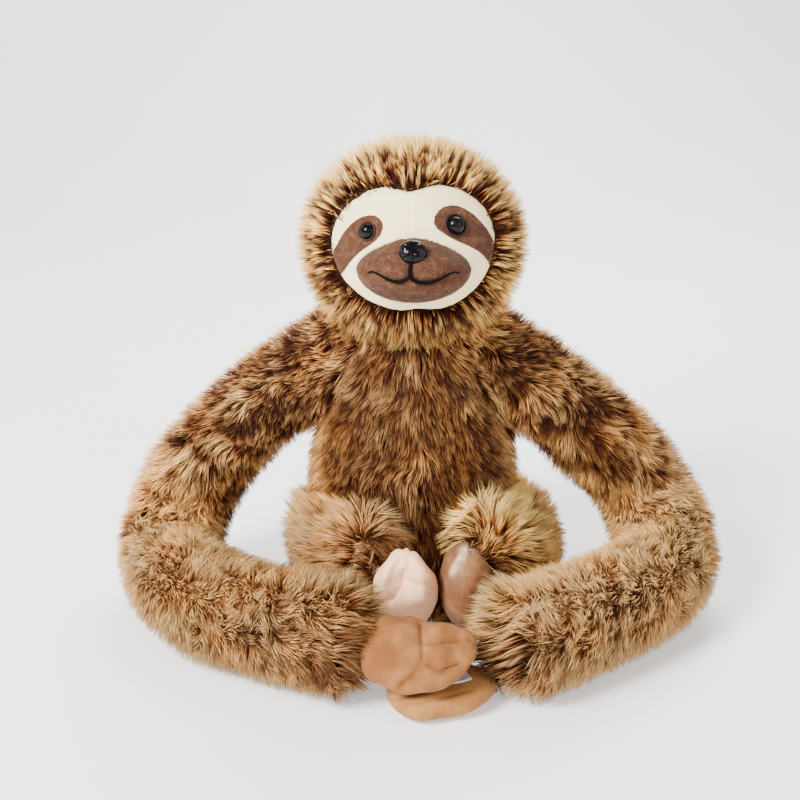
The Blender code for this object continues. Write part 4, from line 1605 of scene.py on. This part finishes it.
# ---------------------------------------------------------------- the studio
@dataclass
class Studio:
    """A pale sweep, soft lamps and the camera."""

    floor: Material
    focal: float = 54.0
    sensor: float = 36.0
    eye: Place = (-0.00758, -0.6676, 0.33549)
    look_down: float = 17.5
    sky: Colour = (0.93, 0.94, 0.97)
    sky_strength: float = 0.57
    aim: Place = (0.0, -0.03, 0.11)
    sweep_from: float = 1.2  # where the floor starts to rise, along Y
    sweep_radius: float = 0.6

    def build(self) -> None:
        """Builds the floor, the lamps, the sky and the camera."""
        self.build_floor()
        self.lamp("key", (-1.1, -1.06, 1.24), 0.65, 110.0, (1.0, 0.98, 0.95))
        self.lamp("fill", (1.3, -0.9, 0.7), 1.2, 13.0, (1.0, 0.92, 0.84))
        self.lamp("glint", (0.1, -0.72, 0.46), 0.05, 0.6, (1.0, 1.0, 1.0))
        self.lamp("rim", (0.25, 1.05, 1.25), 1.0, 44.0, (1.0, 0.96, 0.92))
        world = bpy.data.worlds.new("studio_sky")
        bpy.context.scene.world = world
        world.use_nodes = True
        inputs = {"Color": self.sky, "Strength": self.sky_strength}
        Graph(world.node_tree).feed(world.node_tree.nodes["Background"], inputs)
        camera = bpy.data.cameras.new("camera")
        camera.lens, camera.sensor_width = self.focal, self.sensor
        camera.clip_start, camera.clip_end = 0.01, 50.0
        obj = linked("camera", camera)
        obj.location = self.eye
        obj.rotation_euler = (math.radians(90.0 - self.look_down), 0.0, 0.0)
        bpy.context.scene.camera = obj

    def build_floor(self) -> None:
        """A table top whose far edge curves up into a backdrop."""
        deselect()
        bpy.ops.mesh.primitive_grid_add(x_subdivisions=2, y_subdivisions=60, size=6.0, location=(0, 0, 0))
        obj = bpy.context.object
        obj.name = "floor"
        points = points_of(obj.data)
        beyond = np.maximum(0.0, points[:, 1] - self.sweep_from)
        angle = np.minimum(beyond / self.sweep_radius, math.pi / 2)
        rest = beyond - angle * self.sweep_radius
        raised = self.sweep_radius * (1.0 - np.cos(angle)) + rest
        points[:, 1] = np.where(beyond > 0, self.sweep_from + self.sweep_radius * np.sin(angle), points[:, 1])
        points[:, 2] = np.where(beyond > 0, raised, 0.0)
        move_points(obj.data, points)
        obj.data.shade_smooth()
        dress(obj, self.floor)

    def lamp(self, name: str, place: Place, size: float, power: float, colour: Colour) -> None:
        """A soft square lamp aimed at the toy's middle."""
        data = bpy.data.lights.new(name, "AREA")
        data.size, data.energy, data.color = size, power, colour
        obj = linked(name, data)
        obj.location = place
        obj.rotation_euler = (Vector(self.aim) - Vector(place)).to_track_quat("-Z", "Y").to_euler()


# ---------------------------------------------------------------- the whole toy
TOUCHES = {
    "upper_arm_right": (
        Touch((-0.0708, -0.0135, 0.1154), 0.02, length=-0.3),
        Touch((-0.0884, -0.0077, 0.0924), 0.02, length=-0.3),
        Touch((-0.104, -0.0027, 0.0684), 0.018, length=-0.32),
        Touch((-0.1124, -0.004, 0.0509), 0.014, length=-0.2),
        Touch((-0.1439, 0.0037, 0.099), 0.022, length=0.22, mark=0.15),
        Touch((-0.1526, -0.0028, 0.0824), 0.022, length=0.22, mark=0.25),
        Touch((-0.12, -0.018, 0.064), 0.024, mark=0.45),
        Touch((-0.148, -0.012, 0.06), 0.024, mark=0.35),
    ),
    "upper_arm_left": (
        Touch((0.0888, 0.0015, 0.0821), 0.014, length=0.4),
        Touch((0.1084, 0.0055, 0.0599), 0.014, length=-0.35),
        Touch((0.1165, 0.0034, 0.0478), 0.014, length=-0.3),
        Touch((0.1423, -0.026, 0.066), 0.024, mark=0.45),
        Touch((0.118, -0.006, 0.064), 0.022, mark=0.35),
        Touch((0.156, 0.0000, 0.076), 0.024, mark=0.25),
        Touch((0.13, 0.0000, 0.112), 0.022, mark=0.15),
    ),
    "forearm_right": (
        Touch((-0.0617, -0.1047, 0.0634), 0.016, length=0.42, stand=22.0, mark=0.12),
        Touch((-0.0356, -0.1131, 0.0647), 0.016, length=0.42, stand=22.0, mark=0.12),
        Touch((-0.1008, -0.0716, 0.0635), 0.014, length=-0.3, mark=0.15),
        Touch((-0.1348, -0.0865, 0.0189), 0.018, length=0.35),
        Touch((-0.1225, -0.0963, 0.0153), 0.018, length=0.25),
        Touch((-0.1241, -0.0221, 0.0587), 0.022, mark=0.4),
        Touch((-0.142, -0.03, 0.05), 0.024, mark=0.35),
        Touch((-0.1005, -0.0855, 0.0629), 0.018, mark=0.22),
        Touch((-0.085, -0.122, 0.03), 0.016, mark=-0.25),
        Touch((-0.045, -0.13, 0.029), 0.018, mark=-0.35),
        Touch((-0.029, -0.128, 0.04), 0.013, length=0.25, mark=-0.35, density=0.6),
    ),
    "forearm_left": (
        Touch((0.0431, -0.116, 0.05), 0.011, 0.95, -10.0, 0.35, (-1.6, 0.2, 0.3), density=1.2),
        # dark, dense strands that fill the gap by the hands and feet; their darkness is partly the pile's own and
        # partly painted shade
        Touch((0.041, -0.1154, 0.033), 0.012, 1.35, -20.0, -0.4, (-1.6, 0.0, 0.2), density=5.0),
        Touch((0.0345, -0.104, 0.0245), 0.008, 0.9, -10.0, -0.6, (-1.6, 0.2, 0.0), density=9.0),
        Touch((0.0365, -0.1025, 0.012), 0.009, 0.9, -10.0, -0.6, (-1.6, 0.2, 0.2), density=9.0),
        Touch((0.0437, -0.1208, 0.02), 0.011, 0.8, -20.0, -0.6, (-1.4, 0.0, 0.0), density=2.5),
        Touch((0.0378, -0.1115, 0.0165), 0.007, 1.3, -16.0, -0.6, (-1.6, 0.1, 0.55), density=9.0),
        Touch((0.054, -0.133, 0.026), 0.014, mark=-0.5, density=0.5),
        Touch((0.0578, -0.121, 0.063), 0.015, length=0.2, mark=0.32),
        Touch((0.0861, -0.0987, 0.0634), 0.016, length=0.1, mark=0.28),
        Touch((0.1101, -0.0803, 0.0634), 0.016, mark=0.25),
        Touch((0.115, -0.1, 0.048), 0.016, mark=-0.4),
        Touch((0.08, -0.132, 0.032), 0.016, mark=-0.3),
        Touch((0.15, -0.06, 0.03), 0.02, mark=0.15),
    ),
    "trunk": (
        # dark, dense strands that fill the gap between the legs; their darkness is partly the pile's own and
        # partly painted shade
        Touch((0.017, -0.024, 0.003), 0.014, 1.1, -20.0, -0.6, (0.2, -3.0, 0.3), density=6.0),
    ),
    "leg_right": (
        Touch((-0.018, -0.042, 0.064), 0.012, 0.6, 5.0, 0.12, (1.6, -0.5, -0.7), density=1.5),
        Touch((-0.0572, -0.0176, 0.0694), 0.018, length=0.42, stand=28.0, mark=0.1),
        Touch((-0.065, -0.016, 0.061), 0.016, length=0.32, stand=15.0, mark=0.15),
        Touch((-0.036, -0.036, 0.07), 0.018, length=0.1, mark=0.25),
        # dark strands that fill the gap by the feet; their darkness is partly the pile's own and partly painted
        # shade
        Touch((0.004, -0.042, 0.012), 0.016, 0.7, 10.0, -0.7, (0.5, -2.4, -0.2), density=1.5),
    ),
    "leg_left": (
        Touch((0.032, -0.039, 0.069), 0.012, 0.75, 5.0, 0.2, (-1.8, -0.5, -0.9), density=1.5),
        Touch((0.0496, -0.0299, 0.0744), 0.02, length=0.2, stand=12.0, mark=0.3),
        Touch((0.0374, -0.0424, 0.0723), 0.016, length=0.15, mark=0.3),
        Touch((0.0752, -0.0079, 0.0667), 0.02, length=0.3, stand=12.0, mark=-0.22),
        # dark strands that fill the gap by the feet; their darkness is partly the pile's own and partly painted
        # shade
        Touch((0.022, -0.042, 0.012), 0.016, 0.7, 10.0, -0.7, (-0.5, -2.4, -0.2), density=1.5),
        Touch((0.0245, -0.0355, 0.0065), 0.013, 0.8, -15.0, -0.6, (-1.0, -2.0, 0.1), density=6.0),
    ),
}


class PlushSloth:
    """The whole toy over its frame."""

    def build(self) -> None:
        """Builds the skin, the pile, the face, the hands and the feet."""
        growths = self.growths()
        self.build_coats(Skin().build(growths), growths)
        self.build_face()
        self.build_mittens()
        thread = ThreadFinish().material("mouth_thread_satin")
        MouthStitch("mouth_thread", "mouth_stitch", Slot.THREAD, thread).build()
        tape = TapeFinish().material("touch_tape_loops")
        TouchTape("tape_hook", "touch_tape", Slot.TAPE, tape, voxel=0.00035).build()

    @staticmethod
    def growths() -> dict[str, Growth]:
        """How the pile grows on each furry part."""
        upper = Growth(11000, 17000, 0.0122, 74.0, 56.0, mark=0.32, patchy=0.24, spots=0.3, swirl=0.7)
        fore = Growth(11500, 18000, 0.0122, 70.0, 46.0, mark=0.64, patchy=0.14, spots=0.26, swirl=0.9)
        leg = Growth(7500, 11500, 0.0142, 56.0, 32.0, clump=13.0, pull=0.68, mark=0.5, spots=0.15)
        growths = {
            "head": Growth(11500, 18500, clump=12.0, pull=0.62, mark=0.47, spots=0.12),
            "trunk": Growth(9500, 15000, 0.014, 44.0, 22.0, 0.00031, mark=0.05, patchy=0.14),
            "upper_arm_right": upper,
            # the toy's left limbs, on the side away from the key lamp, get paler pile than the right ones: painted
            # light
            "upper_arm_left": replace(upper, mark=0.43),
            "forearm_right": fore,
            "forearm_left": replace(fore, mark=0.75),
            "leg_right": leg,
            "leg_left": replace(leg, mark=0.6),
        }
        return {name: replace(growth, touches=TOUCHES.get(name, ())) for name, growth in growths.items()}

    @staticmethod
    def build_coats(hide: Hide, growths: dict[str, Growth]) -> None:
        """Grows the pile of every furry part."""
        dark = PileFinish().material("fur_pile")
        golden = PileFinish(
            umber=(0.25, 0.088, 0.022), middle=(0.44, 0.19, 0.05),
            fawn=(0.57, 0.27, 0.072), tip=(0.98, 0.64, 0.205),
        ).material("fur_pile_golden")
        straw = PileFinish(
            root=(0.14, 0.046, 0.015), umber=(0.235, 0.088, 0.028), middle=(0.32, 0.138, 0.043),
            fawn=(0.35, 0.165, 0.056), tip=(0.58, 0.345, 0.135),
        ).material("fur_pile_straw")
        HeadCoat(hide, growths["head"], 1).build("coat_head", "head", golden)
        TrunkCoat(hide, growths["trunk"], 21).build("coat_trunk_front", "trunk", dark, front=True)
        TrunkCoat(hide, growths["trunk"], 22).build("coat_trunk_back", "trunk", dark, front=False)
        limbs = (
            ("upper_arm", 31, (ARM_RIGHT, ARM_LEFT), (dark, dark), {"cuff": 1.5, "belly": -0.14, "lay": 18.0}),
            ("forearm", 41, (ARM_RIGHT, ARM_LEFT), (straw, straw),
             {"cuff_length": 0.25, "cuff_stand": -12.0, "lay": 30.0}),
            # the left leg's golden pile, paler than the right leg's straw, is painted light as well
            ("leg", 51, (LEG_RIGHT, LEG_LEFT), (straw, golden),
             {"towards_end": -1.0, "cuff": 0.7, "cuff_mark": -0.42, "behind": 0.26}),
        )
        for number, side in enumerate(SIDES):
            for limb, seed, routes, finishes, habits in limbs:
                name = f"{limb}_{side}"
                coat = LimbCoat(hide, growths[name], seed + number, routes[number], **habits)
                coat.build(f"coat_{name}", name, finishes[number])

    @staticmethod
    def build_face() -> None:
        """Builds the cloth of the face, the eyes and the nose."""
        cream = VelourFinish(
            (0.95, 0.81, 0.46), (0.94, 0.79, 0.44), (0.96, 0.83, 0.5), 60.0, 2600.0, 0.2, 0.08
        ).material("cream_velour")
        brown = VelourFinish(
            (0.084, 0.035, 0.018), (0.062, 0.024, 0.012), (0.12, 0.055, 0.031), 230.0, 1300.0, 0.9, 1.0
        ).material("brown_velour")
        FacePanel("face_panel", "face_velour", Slot.CREAM, cream, 0.0004, 0.0009, 8, 0.8).build()
        Muzzle("muzzle", "muzzle_velour", Slot.BROWN, brown, 0.00035, 0.0007, 4, 0.85).build()
        for side in SIDES:
            Piece(f"eye_patch_{side}", f"eye_velour_{side}", Slot.BROWN, brown, 0.00015, 0.00038).build()
        black = PlasticFinish((0.002, 0.002, 0.0024), (0.0045, 0.0045, 0.0052)).material("black_plastic")
        amber = PlasticFinish((0.022, 0.01, 0.006), (0.045, 0.022, 0.013), 0.55).material("brown_rim")
        SafetyEye("right", black, amber, 0.0045, 0.0047, (0.0013, -0.0001, -0.0005)).build()
        SafetyEye("left", black, amber, 0.0049, 0.00575, (-0.0006, -0.0004, 0.0)).build()
        Nose(black).build()

    @staticmethod
    def build_mittens() -> None:
        """Builds both hands and both feet."""
        tan = VelourFinish((0.25, 0.102, 0.032), (0.2, 0.073, 0.019), (0.33, 0.145, 0.05))
        # The lower hand is the same cloth as the upper one: its paler copy is painted light from the floor below
        hand_painted_light = VelourFinish((0.36, 0.17, 0.056), (0.29, 0.125, 0.036), (0.44, 0.22, 0.082))
        # Both feet are one cloth: the right foot's pale copy is painted light, and the left foot's dark copy is
        # painted shade
        foot_painted_light = VelourFinish((0.99, 0.61, 0.37), (0.96, 0.53, 0.29), (1.0, 0.7, 0.48))
        foot_painted_shade = VelourFinish(
            (0.205, 0.09, 0.036), (0.16, 0.062, 0.023), (0.28, 0.13, 0.06), ridge_highlight=(0.9, 0.62, 0.42)
        )
        mittens = (
            ("hand", "right", Slot.TAN, tan, "tan_velour", HAND_OVER, None),
            ("hand", "left", Slot.TAN, hand_painted_light, "tan_velour_painted_light", HAND_UNDER, None),
            ("foot", "right", Slot.FOOT, foot_painted_light, "foot_velour", FOOT_FRONT, None),
            ("foot", "left", Slot.FOOT, foot_painted_shade, "foot_velour_painted_shade", FOOT_SIDE, HIGHLIGHT_RIDGE),
        )
        for limb, side, slot, finish, title, shaping, ridge in mittens:
            cloth = replace(finish, clouds=90.0, depth=0.3).material(title)
            Mitten(f"{limb}_{side}", f"{limb}_velour_{side}", slot, cloth, shaping=shaping, ridge=ridge).build()


def corners(box: tuple[Vector, Vector]) -> list[list[float]]:
    """A box as plain lists."""
    return [list(corner) for corner in box]


def main() -> None:
    """Builds the studio and the toy."""
    logging.basicConfig(level=logging.INFO, format="%(name)s: %(message)s")
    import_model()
    Studio(TableFinish().material("table_top")).build()
    Groups.build_pile()
    Groups.build_nap()
    PlushSloth().build()
    deselect()
    bpy.context.view_layer.update()


if __name__ == "__main__":
    main()
